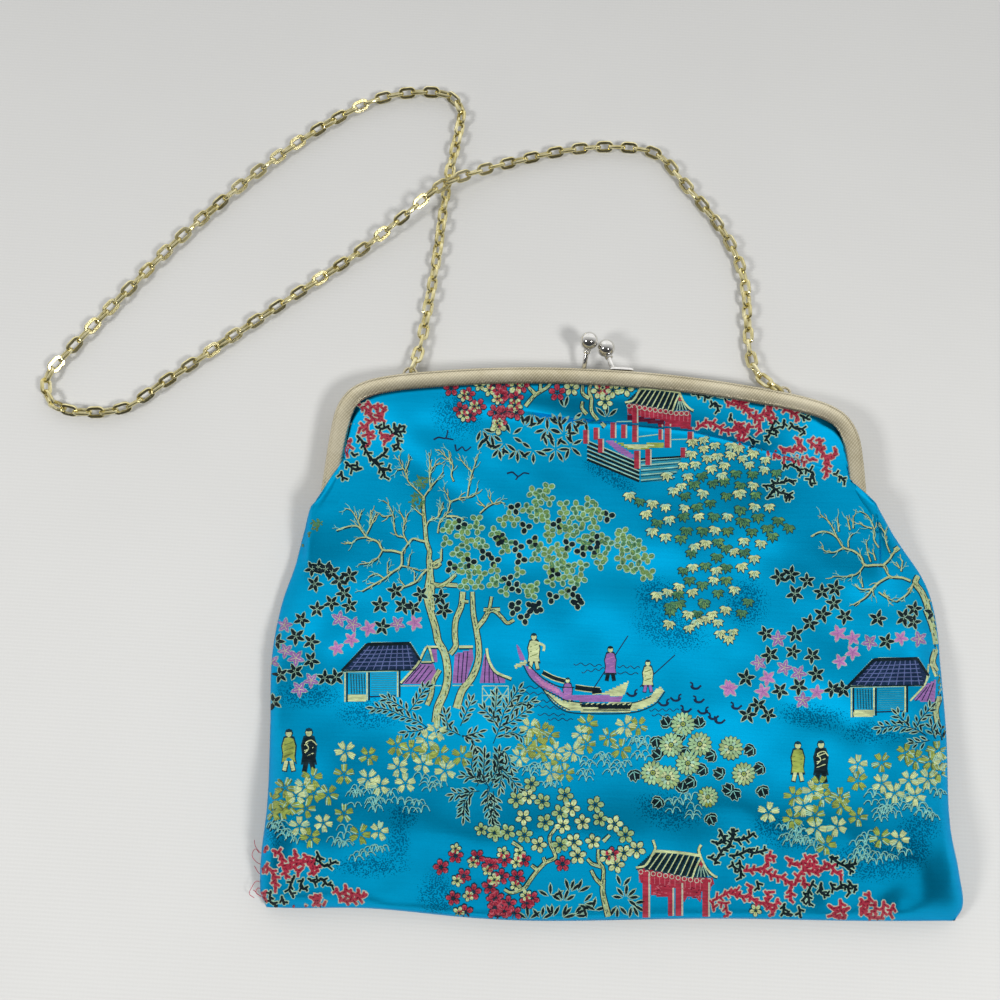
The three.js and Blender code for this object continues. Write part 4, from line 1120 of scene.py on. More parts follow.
def dots(cx, cy, rx, ry, amount, tilt=0.0):
    """Dark stippled shading woven into the satin."""
    STIPPLE.append((cx, cy, rx, ry, amount, tilt))


STIPPLE = []


def stippled(uv):
    """How dense the stippled shading is at points of the view."""
    most = np.zeros(len(uv))
    for cx, cy, rx, ry, amount, tilt in STIPPLE:
        co, si = math.cos(tilt), math.sin(tilt)
        x, y = uv[:, 0] - cx, uv[:, 1] - cy
        r2 = ((x * co + y * si) / rx) ** 2 + ((y * co - x * si) / ry) ** 2
        most = np.maximum(most, amount * np.clip(1.15 - r2, 0, 1) ** 0.7)
    return most


def person(c, h, robe, legs, lean=0.0, hat=None, sash=None):
    """A tiny woven walker without features: head, robe and two legs."""
    c = np.asarray(c, float)
    k = h / 40.0
    sh = np.array([(-4, -10), (0, -11.5), (4, -10), (6, -3), (5, 6), (6, 11), (-6, 11), (-5, 4), (-6, -3)]) * k + (lean, 0)
    pad("deep", c + sh * 1.18)
    pad(robe, c + sh, 0.07)
    pad("deep", ellipse(c + (lean, -15 * k), 3.6 * k, 4.1 * k, 0, 8), 0.0)
    pad("cream", ellipse(c + (lean, -14.6 * k), 2.8 * k, 3.2 * k, 0, 8), 0.07)
    pad(hat or "deep", ellipse(c + (lean, -17.2 * k), 2.9 * k, 1.6 * k, 0, 8), 0.1)
    for s in (-1, 1):
        stroke("deep", [c + (s * 2.2 * k, 10 * k), c + (s * 4.2 * k, 20 * k)], 4.4 * k, 0.0, 4, back=False)
        stroke(legs, [c + (s * 2.2 * k, 10 * k), c + (s * 4.2 * k, 19 * k)], 3.2 * k, 0.06, 4)
    for y in (-4, 1, 6):
        stroke(sash or "olive", [c + (-4 * k + lean, y * k), c + (4 * k + lean, (y - 3) * k)], 0.8, 0.1, 4, back=False)


def duck(c, s=1.0):
    c = np.asarray(c, float)
    stroke("navy", [c + (-5.4 * s, -1.4), c + (-2 * s, 1.6), c + (3 * s, 1.2), c + (4.4 * s, -1.5)], 3.2, 0.02, 2.5, (0.6, 0.8))
    stroke("navy", [c + (3 * s, 0.5), c + (3.4 * s, -3.5), c + (5.6 * s, -4.6)], 1.6, 0.03, 2.5)


def wave_line(x0, y0, x1, y1, n=5, amp=1.3):
    t = np.linspace(0, 1, 6 * n)
    stroke("navy", np.stack([x0 + (x1 - x0) * t, y0 + (y1 - y0) * t + amp * np.sin(t * n * 6.283)], -1), 0.75, 0.0, raw=True, back=False)

# ---- the chart: each sheet of it is 250 units wide, drawn at 6.272 to the unit
A, B, C = (255, 360), (495, 360), (735, 380)
D, E, F = (250, 560), (490, 600), (730, 600)
G, H, I = (250, 740), (490, 760), (730, 760)


def on(sheet, pts):
    return np.asarray(pts, float).reshape(-1, 2) / 6.272 + sheet


def lines(sheet, paths):
    return [on(sheet, p) for p in paths]


# shading first, so that everything else lies over it
layer(0)
for sh, regions in (
    (A, [(1270, 340, 170, 170, 260, 0.5)]),
    (B, [(720, 730, 200, 60, 190, 0.5), (1010, 1480, 150, 130, 260, 0)]),
    (C, [(70, 1400, 150, 170, 260, 0)]),
    (D, [(350, 850, 240, 90, 330, 0), (760, 960, 230, 110, 380, 0)]),
    (E, [(1130, 190, 260, 130, 380, 0.3), (1120, 1320, 230, 120, 330, 0.2)]),
    (F, [(520, 730, 260, 90, 320, 0.1), (900, 830, 240, 80, 260, 0), (250, 1420, 120, 90, 110, 0), (1190, 1430, 150, 100, 170, 0)]),
    (G, [(960, 470, 110, 90, 170, 0), (760, 790, 260, 80, 330, 0), (930, 640, 80, 160, 150, 0), (1170, 970, 130, 160, 240, 0), (160, 560, 90, 120, 110, 0)]),
    (H, [(1120, 330, 210, 120, 250, 0.2)]),
    (I, [(900, 640, 340, 130, 420, 0), (400, 480, 200, 90, 170, 0), (1150, 560, 120, 150, 160, 0)]),
):
    for x, y, rx, ry, n, tilt in regions:
        q = on(sh, (x, y))[0]
        dots(q[0], q[1], rx / 5.6, ry / 5.6, 0.95, tilt)
for x0, y0, x1, y1 in ((525, 400, 700, 412), (575, 452, 720, 430), (800, 415, 940, 425), (800, 455, 930, 465), (205, 545, 330, 550), (185, 580, 340, 590),
                       (300, 630, 390, 640), (270, 662, 460, 682), (300, 716, 470, 722), (365, 746, 520, 752), (1000, 690, 1185, 690), (1015, 720, 1125, 725)):
    a, b = on(E, (x0, y0))[0], on(E, (x1, y1))[0]
    wave_line(a[0], a[1], b[0], b[1], max(2, int((b[0] - a[0]) / 7)))

# bare trees
layer(3)
for sh, paths in (
    (A, [
        ((1058, 860), (1010, 810), (960, 760), (940, 700), (910, 640), (900, 600)), ((940, 700), (960, 650), (970, 600)), ((930, 680), (890, 690)),
        ((1058, 860), (1100, 800), (1150, 740), (1180, 700)), ((1100, 800), (1095, 740), (1110, 680), (1160, 640)), ((1095, 740), (1095, 660), (1090, 580)),
        ((1060, 980), (1020, 950), (980, 910)), ((1068, 1060), (1090, 1010), (1150, 980), (1180, 890)), ((1150, 980), (1155, 920)),
        ((1145, 1085), (1160, 1010), (1205, 960), (1220, 890), (1180, 800)), ((1220, 890), (1290, 865), (1370, 850), (1395, 800)),
        ((1330, 860), (1350, 740), (1380, 650), (1395, 590)), ((1360, 700), (1320, 660), (1280, 610)), ((1245, 760), (1230, 720), (1240, 660), (1200, 610), (1150, 560)),
        ((1225, 650), (1215, 570)), ((960, 1150), (930, 1090), (935, 1020), (960, 960)), ((935, 1000), (900, 940)),
        ((930, 1110), (890, 1100), (870, 1040), (865, 970), (830, 900), (800, 880)), ((865, 970), (800, 980), (780, 960)),
        ((670, 1070), (640, 1000), (600, 940), (560, 930)), ((700, 1110), (640, 1120), (600, 1150), (560, 1140)), ((700, 1090), (720, 1050), (760, 960)),
        ((650, 1000), (670, 940)), ((800, 1190), (770, 1240), (720, 1270), (650, 1280)), ((915, 1290), (970, 1300), (1030, 1320)), ((960, 1290), (970, 1220)),
        ((810, 1370), (760, 1340), (710, 1360)), ((830, 1340), (830, 1270)), ((940, 1420), (900, 1370)), ((1000, 1390), (1000, 1330)),
        ((1410, 960), (1470, 910), (1540, 890), (1568, 900)), ((1440, 920), (1400, 880)), ((1490, 900), (1460, 850)), ((720, 1030), (725, 940))]),
    (C, [
        ((640, 990), (590, 890), (530, 840)), ((680, 1050), (620, 1080), (560, 1070), (540, 1040)), ((710, 1050), (710, 1000), (740, 960)), ((650, 950), (640, 860)),
        ((720, 940), (700, 850)), ((740, 930), (740, 850)), ((970, 1080), (950, 1030), (940, 950), (970, 910)), ((900, 1050), (870, 1000), (870, 930), (830, 850), (780, 820)),
        ((860, 930), (800, 910), (780, 890)), ((940, 960), (900, 900)), ((850, 1140), (830, 1080), (820, 1000)), ((880, 1130), (860, 1060)),
        ((810, 1160), (770, 1210), (720, 1230), (610, 1230)), ((860, 1310), (780, 1310), (750, 1280)), ((800, 1300), (790, 1240)), ((860, 1310), (870, 1360)),
        ((960, 1370), (930, 1330)), ((1030, 1180), (1010, 1140)), ((1040, 1200), (1050, 1130)), ((900, 1330), (960, 1370), (1010, 1390))]),
):
    for p in lines(sh, paths):
        branch(p, 1.7, 0.9, max(2, int(Path(p).length / 4.6)), 6.6)
for sh, paths in (
    (A, [((1075, 1140), (1030, 1130), (990, 1120), (960, 1150), (920, 1210)), ((920, 1210), (860, 1195), (800, 1190), (770, 1140), (700, 1110), (670, 1070), (640, 1040), (560, 1050), (510, 1070)),
         ((920, 1210), (915, 1290), (860, 1330), (810, 1370), (740, 1410), (670, 1450)), ((1165, 1260), (1110, 1290), (1050, 1340), (1010, 1390), (940, 1420), (880, 1440)),
         ((1165, 1260), (1170, 1180)), ((1110, 1420), (1180, 1410), (1230, 1370), (1260, 1340)), ((1200, 1410), (1270, 1410)), ((1200, 980), (1260, 980), (1310, 1000))]),
    (C, [((930, 1160), (870, 1160), (810, 1160), (790, 1110), (740, 1070), (680, 1050), (640, 990), (600, 960), (540, 950), (475, 980)), ((1100, 1260), (1050, 1240), (970, 1230), (930, 1160)),
         ((970, 1230), (900, 1270), (860, 1310), (820, 1360), (740, 1410)), ((1150, 1230), (1110, 1290), (1080, 1340), (1010, 1390)), ((930, 1160), (970, 1120), (1000, 1070))]),
):
    for p in lines(sh, paths):
        branch(p, 2.8, 1.7, int(Path(p).length / 8), 6.6)
for sh, pts, w0, w1 in (
    (A, ((1110, 1568), (1105, 1500), (1110, 1420), (1100, 1330), (1090, 1260), (1095, 1200), (1075, 1140), (1068, 1060), (1060, 980), (1055, 900), (1058, 860)), 6.0, 2.6),
    (A, ((1165, 1255), (1140, 1265), (1110, 1290), (1135, 1300), (1165, 1275)), 3.0, 3.0),
    (C, ((1000, 1070), (1050, 1040), (1100, 1080), (1140, 1170), (1165, 1210)), 4.6, 5.0), (C, ((1165, 1205), (1130, 1270), (1170, 1330), (1200, 1400), (1220, 1470), (1260, 1568)), 5.0, 6.0),
    (C, ((1200, 1400), (1250, 1350), (1270, 1330)), 3.6, 3.0),
    (D, ((1125, 0), (1130, 80), (1120, 150), (1110, 230), (1135, 330), (1165, 430), (1180, 510), (1215, 570), (1235, 650), (1240, 740), (1220, 830), (1180, 920), (1165, 1020)), 6.0, 8.0),
    (D, ((1130, 150), (1200, 160), (1250, 130), (1290, 90)), 5.0, 3.0), (D, ((1230, 155), (1300, 160)), 4.0, 4.0),
    (F, ((1230, 60), (1270, 170), (1290, 300), (1270, 390), (1310, 480), (1315, 600), (1290, 690), (1300, 770)), 5.6, 5.0), (F, ((1350, 740), (1345, 870)), 4.0, 5.0),
):
    trunk(on(sh, pts), w0, w1)

# roofs and houses
layer(6)


def tiled_roof(sh, outline, stripes, base, line, cell=None):
    p = on(sh, outline)
    fill("mint", p + (p - p.mean(0)) / np.linalg.norm(p - p.mean(0), axis=1, keepdims=True) * 1.4, 0.0, back=False)
    fill(base, p, 0.05)
    for s in lines(sh, stripes):
        stroke(line, s, 0.9, 0.1)


def quad_lines(a, b, c, d, n, m=0):
    """Lines across a four-sided field from edge ab to edge dc, and m lines the other way."""
    a, b, c, d = (np.array(v, float) for v in (a, b, c, d))
    out = [(tuple(a + (b - a) * t), tuple(d + (c - d) * t)) for t in np.linspace(0.06, 0.94, n)] if n else []
    out += [(tuple(a + (d - a) * t), tuple(b + (c - b) * t)) for t in np.linspace(0.18, 0.82, m)] if m else []
    return out


for sh, o, right in ((D, (0, 0), 0), (F, (165, -160), 1)):
    sx = 1.0 if not right else 1.02

    def h(*pts):
        return [(x * sx + o[0] if not right else (x - 575) * sx + 740, y + o[1] if not right else y - 155) for x, y in pts]
    tiled_roof(sh, h((575, 695), (735, 525), (1000, 520), (1070, 630), (1040, 690)),
               quad_lines(*h((735, 540), (1000, 530), (1040, 690), (600, 695)), 9, 5), "navy", "slate")
    for pts, w in ((((575, 695), (735, 528)), 2.4), (((735, 530), (1000, 524)), 3.4), (((1000, 524), (1068, 630)), 2.2), (((580, 697), (1040, 690)), 1.2)):
        stroke("black", on(sh, h(*pts)), w, 0.13)
    for x, y0, y1 in ((600, 705, 890), (738, 705, 880), (930, 695, 860)):
        stroke("black", on(sh, h((x + 9, y0), (x + 9, y1))), 1.6, 0.06)
        stroke("cream", on(sh, h((x - 4, y0), (x - 4, y1))), 1.4, 0.06)
    fill("cream", on(sh, h((604, 845), (728, 845), (728, 890), (604, 890))), 0.05)
    for y in range(715, 845, 14):
        stroke("aqua", on(sh, h((625, y), (718, y))), 0.9, 0.0, back=False)
        stroke("aqua", on(sh, h((760, y), (915, y))), 0.9, 0.0, back=False)
    for x in range(632, 720, 17):
        stroke("deep", on(sh, h((x, 715), (x + 5, 838))), 0.7, 0.04, back=False)
    stroke("navy", on(sh, h((750, 858), (915, 852))), 1.2, 0.05)
    stroke("mint", on(sh, h((600, 703), (930, 697))), 0.9, 0.06)
# the lilac pavilion behind the trunks
for poly in (((945, 775), (1060, 650), (1150, 650), (1168, 700), (1135, 775)), ((1270, 775), (1285, 590), (1395, 560), (1402, 620), (1350, 775)),
             ((1440, 775), (1470, 590), (1500, 620), (1545, 700), (1600, 740), (1600, 775))):
    fill("lilac", on(D, poly), 0.05)
for pts in (((975, 772), (1075, 660)), ((1010, 772), (1100, 660)), ((1045, 772), (1125, 665)), ((1080, 772), (1145, 690)), ((1300, 770), (1312, 590)), ((1325, 770), (1340, 580)),
            ((1350, 765), (1366, 575)), ((1470, 770), (1478, 610)), ((1500, 770), (1500, 640)), ((1530, 772), (1525, 690)), ((1565, 772), (1552, 720))):
    stroke("navy", on(D, pts), 0.9, 0.1)
for pts, w in ((((945, 772), (1050, 655), (1060, 640), (1115, 540), (1150, 640)), 2.0), (((1075, 640), (1140, 640)), 1.6), (((1310, 545), (1398, 545)), 2.6), (((1485, 555), (1495, 620), (1540, 700), (1640, 745)), 2.4),
               (((1115, 545), (1180, 545)), 2.0)):
    stroke("deep", on(D, pts) + (0, 0.9), w + 0.9, 0.08)
    stroke("cream", on(D, pts), w, 0.12)
fill("aqua", on(D, ((1085, 640), (1115, 570), (1140, 640))), 0.04)
fill("lilac", on(D, ((1130, 555), (1170, 555), (1175, 640), (1155, 640))), 0.04)
for x0, x1 in ((1458, 1540), (1548, 1620)):
    for pts in (((x0, 790), (x1, 790)), ((x0, 790), (x0, 920)), ((x1, 790), (x1, 920)), ((x0, 920), (x1, 915)), ((x0, 800), (x1, 910)), ((x1, 800), (x0, 910)), ((x0, 850), (x1, 850))):
        stroke("mint", on(D, pts), 0.9, 0.04)
for pts in (((940, 790), (1200, 788)), ((1270, 788), (1400, 786))):
    stroke("mint", on(D, pts), 0.9, 0.04)
fill("lilac", on(F, ((1150, 630), (1230, 530), (1290, 500), (1282, 640))), 0.05)
for pts in (((1165, 632), (1235, 545)), ((1200, 632), (1255, 530)), ((1235, 634), (1275, 520))):
    stroke("navy", on(F, pts), 0.8, 0.1)
stroke("cream", on(F, ((1130, 632), (1225, 520), (1250, 400), (1290, 480))), 1.6, 0.1)
for pts, w0, w1 in ((((1335, 200), (1325, 290), (1290, 380), (1285, 480), (1290, 540), (1255, 590)), 5.6, 5.0), (((1190, 690), (1150, 760), (1135, 850), (1110, 910)), 4.2, 4.6),
                    (((1395, 200), (1400, 330), (1420, 440), (1435, 540), (1430, 640), (1390, 740), (1330, 820), (1295, 930)), 4.0, 7.6),
                    (((1420, 430), (1470, 370), (1500, 320), (1568, 310)), 4.6, 3.6), (((1500, 320), (1515, 230)), 3.0, 2.6), (((1330, 260), (1370, 262)), 3.0, 2.6),
                    (((1165, 430), (1180, 510), (1215, 570), (1235, 650), (1240, 740), (1220, 830), (1180, 920), (1165, 1020)), 6.2, 8.0)):
    trunk(on(D, pts), w0, w1)
trunk(on(E, ((-40, 60), (30, 70), (75, 110), (110, 145), (150, 125))), 3.4, 3.0)

# pavilions with red posts, above and below
layer(8)


def pavilion(sh, x, y, k, cut=False):
    def m(*pts):
        return on(sh, [(x + px * k, y + py * k) for px, py in pts])
    fill("deep", m((0, 100), (110, 0), (390, 20), (345, 165)), 0.04)
    for t in np.linspace(0.04, 0.94, 8):
        stroke("cream", m((110 + 275 * t, 2 + 18 * t), (30 + 300 * t, 98 + 60 * t)), 1.0, 0.1)
        stroke("black", m((124 + 272 * t, 4 + 18 * t), (50 + 296 * t, 102 + 58 * t)), 2.4, 0.07)
    fill("deep", m((345, 165), (400, 45), (480, 150)), 0.05)
    for t in (0.2, 0.4, 0.6, 0.8):
        stroke("mint", m((400, 62), (352 + 120 * t, 160 - 6 * t)), 0.8, 0.1)
    fill("red", m((385, 80), (402, 55), (418, 85), (402, 95)), 0.11)
    for pts, w in ((((0, 100), (60, 85), (110, 0)), 1.8), (((110, 0), (120, -20), (105, -70)), 2.2), (((110, -2), (250, 6), (395, 26)), 2.6), (((395, 26), (385, -10), (400, -40)), 2.4),
                   (((395, 26), (430, 100), (482, 152), (500, 158)), 1.9), (((345, 165), (372, 90), (398, 40)), 1.7)):
        stroke("deep", m(*pts) + (0, 0.8), w + 1.0, 0.09)
        stroke("cream", m(*pts), w, 0.13)
    fill("red", m((10, 112), (60, 100), (345, 168), (470, 158), (480, 200), (440, 240), (340, 245), (30, 190)), 0.03)
    for t in np.linspace(0, 1, 12):
        c = m((30 + 420 * t, 125 + 55 * min(1, t * 1.2)))[0]
        pad("rim", ellipse(c, 2.6, 2.6), 0.1)
        pad("red", ellipse(c, 1.8, 1.8), 0.14)
    for t in np.linspace(0, 1, 15):
        stroke("rose", m((20 + 440 * t, 150 + 40 * t), (22 + 436 * t, 190 + 50 * t)), 0.7, 0.09, back=False)
    return m


m = pavilion(B, 815, 180, 0.86)
fill("red", on(B, ((1060, 345), (1230, 345), (1225, 435), (1070, 410))), 0.05)
fill("wine", on(B, ((830, 345), (1060, 380), (1060, 410), (830, 372))), 0.06)
for x, y0, y1, w in ((875, 300, 515, 4.6), (1035, 405, 500, 3.2), (1080, 400, 550, 5.0), (1222, 420, 500, 4.6), (567, 440, 525, 4.4), (632, 425, 500, 4.4), (660, 495, 582, 4.4), (738, 395, 490, 4.4), (805, 408, 490, 4.4),
                     (888, 570, 682, 4.8), (958, 560, 660, 4.6), (1178, 550, 612, 4.4)):
    stroke("rim", on(B, ((x + 5, y0), (x + 5, y1))), w + 1.4, 0.08)
    stroke("red", on(B, ((x, y0), (x, y1))), w, 0.13)
for pts in (((900, 482), (1030, 466)), ((1100, 500), (1210, 496)), ((760, 388), (860, 384))):
    stroke("mint", on(B, pts), 0.9, 0.04)
fill("lime", on(B, ((740, 508), (840, 532), (1060, 516), (1060, 545), (880, 566), (830, 556))), 0.05)
fill("cream", on(B, ((800, 530), (1000, 535), (900, 560), (850, 555))), 0.08)
fill("lilac", on(B, ((690, 505), (745, 510), (875, 600), (855, 622), (770, 575))), 0.03)
for k in range(5):
    stroke("mint", on(B, ((578, 506 + 27 * k), (905, 645 + 26 * k))), 1.0, 0.04)
    stroke("black", on(B, ((578, 516 + 27 * k), (905, 657 + 26 * k))), 2.2, 0.05)
fill("aqua", on(B, ((915, 640), (1170, 612), (1150, 700), (1040, 765), (915, 765))), 0.01)
for y in (625, 655, 685, 715, 748):
    stroke("mint", on(B, ((915, y + 6), (1165 - (y - 625) * 0.3, y - 14))), 0.9, 0.05)
    stroke("deep", on(B, ((915, y + 16), (1165 - (y - 625) * 0.3, y - 4))), 0.8, 0.05)
stroke("black", on(B, ((915, 622), (1175, 606))), 1.8, 0.07)
m = pavilion(H, 915, 572, 1.02)
for x, y0, y1, w in ((975, 700, 985, 5.6), (1130, 800, 975, 4.2), (1182, 770, 975, 5.6), (1350, 745, 980, 5.6)):
    stroke("rim", on(H, ((x + 7, y0), (x + 7, y1))), w + 1.4, 0.08)
    stroke("red", on(H, ((x, y0), (x, y1))), w, 0.13)
for poly in (((1010, 750), (1150, 775), (1140, 855), (1010, 850)), ((1205, 780), (1330, 770), (1320, 890), (1280, 850), (1240, 850), (1215, 895))):
    fill("red", on(H, poly), 0.05)
    q = on(H, poly)
    for _ in range(26):
        c = q.mean(0) + np.array((random.uniform(-9, 9), random.uniform(-6.5, 5)))
        stroke("rose" if random.random() < 0.6 else "wine", [c, c + (random.uniform(-3, 3), 0.4)], 0.7, 0.1, 4, back=False)

# the boat
layer(10)
fill("cream", on(E, ((330, 560), (400, 640), (480, 690), (620, 705), (880, 700), (960, 680), (1040, 640), (1092, 570), (1070, 545), (1040, 560), (1010, 600), (920, 640), (640, 650), (470, 640), (400, 600))), 0.03)
fill("lilac", on(E, ((215, 405), (260, 428), (330, 500), (430, 553), (470, 598), (800, 603), (835, 600), (815, 638), (620, 642), (470, 622), (430, 600), (320, 545), (250, 480))), 0.05)
fill("pink", on(E, ((270, 465), (330, 510), (430, 562), (440, 590), (330, 540))), 0.08)
fill("lilac", on(E, ((165, 282), (180, 290), (215, 360), (222, 385), (190, 378), (175, 330))), 0.05)
fill("cream", on(E, ((150, 410), (225, 378), (235, 400), (160, 430))), 0.08)
fill("cream", on(E, ((690, 592), (760, 560), (872, 508), (845, 590), (820, 606))), 0.06)
fill("black", on(E, ((560, 652), (890, 655), (880, 680), (580, 678))), 0.08)
for pts, w in ((((330, 455), (400, 490), (470, 510)), 3.6), (((535, 548), (620, 560), (690, 566)), 4.4), (((640, 580), (700, 575)), 3.0)):
    stroke("cream", on(E, pts), w + 1.6, 0.05)
    stroke("black", on(E, pts), w, 0.1)
for pts, w in ((((330, 560), (400, 650), (480, 700), (620, 713), (880, 708), (960, 690), (1045, 645), (1096, 575)), 1.1), (((210, 410), (250, 485), (325, 553), (430, 606), (470, 628), (620, 648), (900, 645), (1010, 606)), 1.0),
               (((235, 400), (330, 490), (440, 545), (530, 548)), 1.0), (((585, 690), (880, 692)), 0.9), (((360, 590), (430, 655), (500, 690)), 0.9)):
    stroke("deep", on(E, pts), w, 0.12)
for k in range(9):
    c = on(E, (600 + 33 * k, 655 + k * 0.5))[0]
    stroke("cream", [c, c + (3.2, -1.4)], 1.0, 0.125, back=False)
for a, b in (((865, 225), (640, 570)), ((1160, 345), (940, 545))):
    stroke("navy", on(E, (a, b)), 0.9, 0.06)
layer(12)
person(on(E, (275, 320))[0], 38, "cream", "cream")
person(on(E, (755, 395))[0], 36, "lilac", "black", hat="black", sash="pink")
person(on(E, (990, 475))[0], 34, "cream", "lilac")
person(on(E, (487, 575))[0], 30, "lilac", "cream", sash="pink")
stroke("cream", on(E, ((300, 270), (340, 290), (335, 320))), 2.4, 0.1)
person(on(D, (245, 1190))[0], 44, "lime", "cream")
person(on(D, (370, 1190))[0], 46, "black", "black", sash="cream")
person(on(F, (425, 1010))[0], 42, "lime", "cream")
person(on(F, (570, 1010))[0], 44, "black", "black", sash="cream")
stroke("cream", on(D, ((345, 1210), (370, 1180), (350, 1150), (385, 1130), (420, 1160))), 1.1, 0.12)
stroke("cream", on(F, ((545, 1030), (570, 1000), (545, 970), (590, 950), (615, 980))), 1.1, 0.12)
for p in ((1290, 545), (1090, 650), (1165, 620), (1310, 630), (1230, 690), (1335, 700), (1400, 735), (1440, 760), (890, 590), (1545, 670)):
    duck(on(E, p)[0], random.choice((1, 1, -1)))
for sh, paths in ((A, [((1120, 500), (1150, 485), (1195, 490), (1210, 440)), ((1195, 490), (1245, 500)), ((1255, 530), (1265, 570), (1300, 545), (1320, 570), (1355, 545))]),
                  (B, [((75, 712), (110, 704), (145, 730), (180, 708), (215, 714)), ((145, 730), (130, 752))])):
    for p in lines(sh, paths):
        stroke("navy", p, 2.0, 0.02, 2.5, (0.8, 0.6))

# coral
layer(14)
coral("black", lines(A, [((640, 480), (670, 510), (700, 580), (740, 630), (790, 680), (815, 735)), ((740, 630), (800, 600), (830, 560)), ((790, 680), (850, 690)), ((760, 420), (800, 430), (840, 412)),
                         ((850, 480), (890, 450), (910, 412)), ((890, 450), (940, 450)), ((870, 402), (880, 440)), ((890, 490), (900, 540), (870, 568)), ((605, 585), (625, 600)),
                         ((570, 640), (600, 670), (640, 690), (640, 642)), ((540, 700), (550, 755))]), 3.8)
coral("red", lines(A, [((650, 280), (690, 300), (715, 340), (735, 370), (700, 410), (710, 470), (715, 530)), ((735, 370), (790, 375), (800, 330), (822, 295)), ((715, 340), (725, 300), (710, 262)),
                       ((790, 375), (770, 330), (772, 275)), ((700, 410), (660, 430)), ((710, 470), (742, 450)), ((790, 490), (802, 470), (850, 490), (810, 510)), ((610, 390), (605, 430)),
                       ((602, 500), (582, 550), (570, 580))]), 4.6)
coral("black", lines(B, [((1240, 212), (1300, 218), (1340, 240)), ((1350, 292), (1380, 270), (1402, 320)), ((1480, 340), (1470, 380)), ((1395, 225), (1440, 232))]), 3.6)
coral("red", lines(B, [((1450, 260), (1500, 280), (1540, 268), (1568, 300)), ((1262, 432), (1290, 410), (1340, 392), (1400, 420), (1440, 440), (1500, 440), (1550, 420), (1568, 470)), ((1500, 440), (1520, 400))]), 4.4)
coral("black", lines(C, [((260, 240), (230, 300), (210, 350), (190, 380)), ((230, 300), (270, 330)), ((310, 250), (300, 300)), ((350, 270), (370, 300), (420, 310), (440, 340)), ((412, 222), (470, 250)),
                         ((90, 360), (120, 390), (110, 420)), ((350, 530), (400, 560), (420, 590)), ((440, 560), (490, 590), (470, 640), (480, 660)), ((620, 590), (650, 600), (690, 640)),
                         ((180, 660), (230, 670), (270, 700), (330, 720), (360, 740)), ((230, 632), (260, 650), (300, 640), (350, 630), (370, 650)), ((200, 742), (240, 700)), ((320, 760), (330, 720)), ((300, 520), (330, 550))]), 3.6)
coral("red", lines(C, [((0, 130), (40, 160), (80, 200), (110, 230), (150, 260), (150, 320)), ((40, 160), (60, 120)), ((110, 230), (170, 220), (210, 200), (230, 150), (280, 160)), ((230, 150), (210, 250), (240, 230)),
                       ((280, 160), (330, 190), (380, 220), (400, 250)), ((330, 190), (350, 162)), ((20, 270), (40, 320), (20, 370), (60, 380)), ((40, 320), (80, 310), (90, 280)),
                       ((280, 420), (320, 440), (370, 440), (410, 410), (390, 370)), ((410, 410), (440, 440)), ((320, 440), (300, 480), (370, 500), (450, 510), (490, 490)),
                       ((460, 380), (500, 410), (540, 450), (570, 490), (570, 540), (575, 600)), ((540, 450), (530, 370)), ((570, 490), (610, 490), (635, 440)), ((190, 440), (230, 460), (280, 490))]), 4.6)
coral("black", lines(G, [((390, 740), (430, 760), (470, 790), (540, 760)), ((420, 700), (440, 750)), ((370, 870), (410, 890), (450, 870), (480, 900), (520, 912)), ((280, 850), (250, 930), (270, 980)),
                         ((330, 870), (320, 920), (360, 940)), ((130, 950), (130, 1010), (170, 1040)), ((200, 980), (215, 1030))]), 3.6)
coral("red", lines(G, [((90, 660), (110, 680)), ((150, 690), (200, 730), (210, 790), (260, 800), (300, 780), (360, 760), (420, 810)), ((280, 690), (290, 740), (300, 780)), ((340, 720), (370, 750), (430, 820)),
                       ((210, 790), (230, 860)), ((80, 740), (80, 800), (110, 800), (150, 840), (160, 930)), ((100, 950), (80, 1000)), ((440, 970), (410, 1020), (450, 1040), (490, 1050)), ((380, 980), (420, 1010)),
                       ((540, 930), (570, 990), (600, 1010), (650, 1000), (730, 970)), ((600, 910), (600, 970)), ((632, 940), (640, 990)), ((680, 940), (680, 985)), ((230, 1060), (300, 1070), (370, 1056)),
                       ((250, 740), (260, 780)), ((330, 800), (300, 830)), ((380, 790), (400, 840))]), 4.8)
coral("black", lines(H, [((1370, 610), (1420, 620), (1460, 560), (1500, 540), (1530, 430)), ((1420, 620), (1410, 650)), ((1390, 510), (1440, 520), (1480, 500)), ((1520, 640), (1540, 700)), ((1440, 440), (1470, 500))]), 3.8)
coral("black", lines(I, [((10, 430), (30, 500), (70, 500), (120, 480), (150, 460)), ((0, 600), (60, 590), (120, 560), (150, 580), (230, 560)), ((60, 630), (70, 740)), ((630, 610), (680, 640), (720, 660), (790, 650)),
                         ((640, 600), (660, 630)), ((720, 660), (770, 700)), ((520, 760), (490, 830), (500, 910)), ((490, 850), (450, 880)), ((570, 770), (570, 830), (620, 850)), ((630, 770), (660, 810), (720, 780), (750, 830)),
                         ((740, 760), (790, 810)), ((340, 900), (340, 960), (390, 970)), ((430, 920), (440, 980)), ((170, 760), (180, 810))]), 3.8)
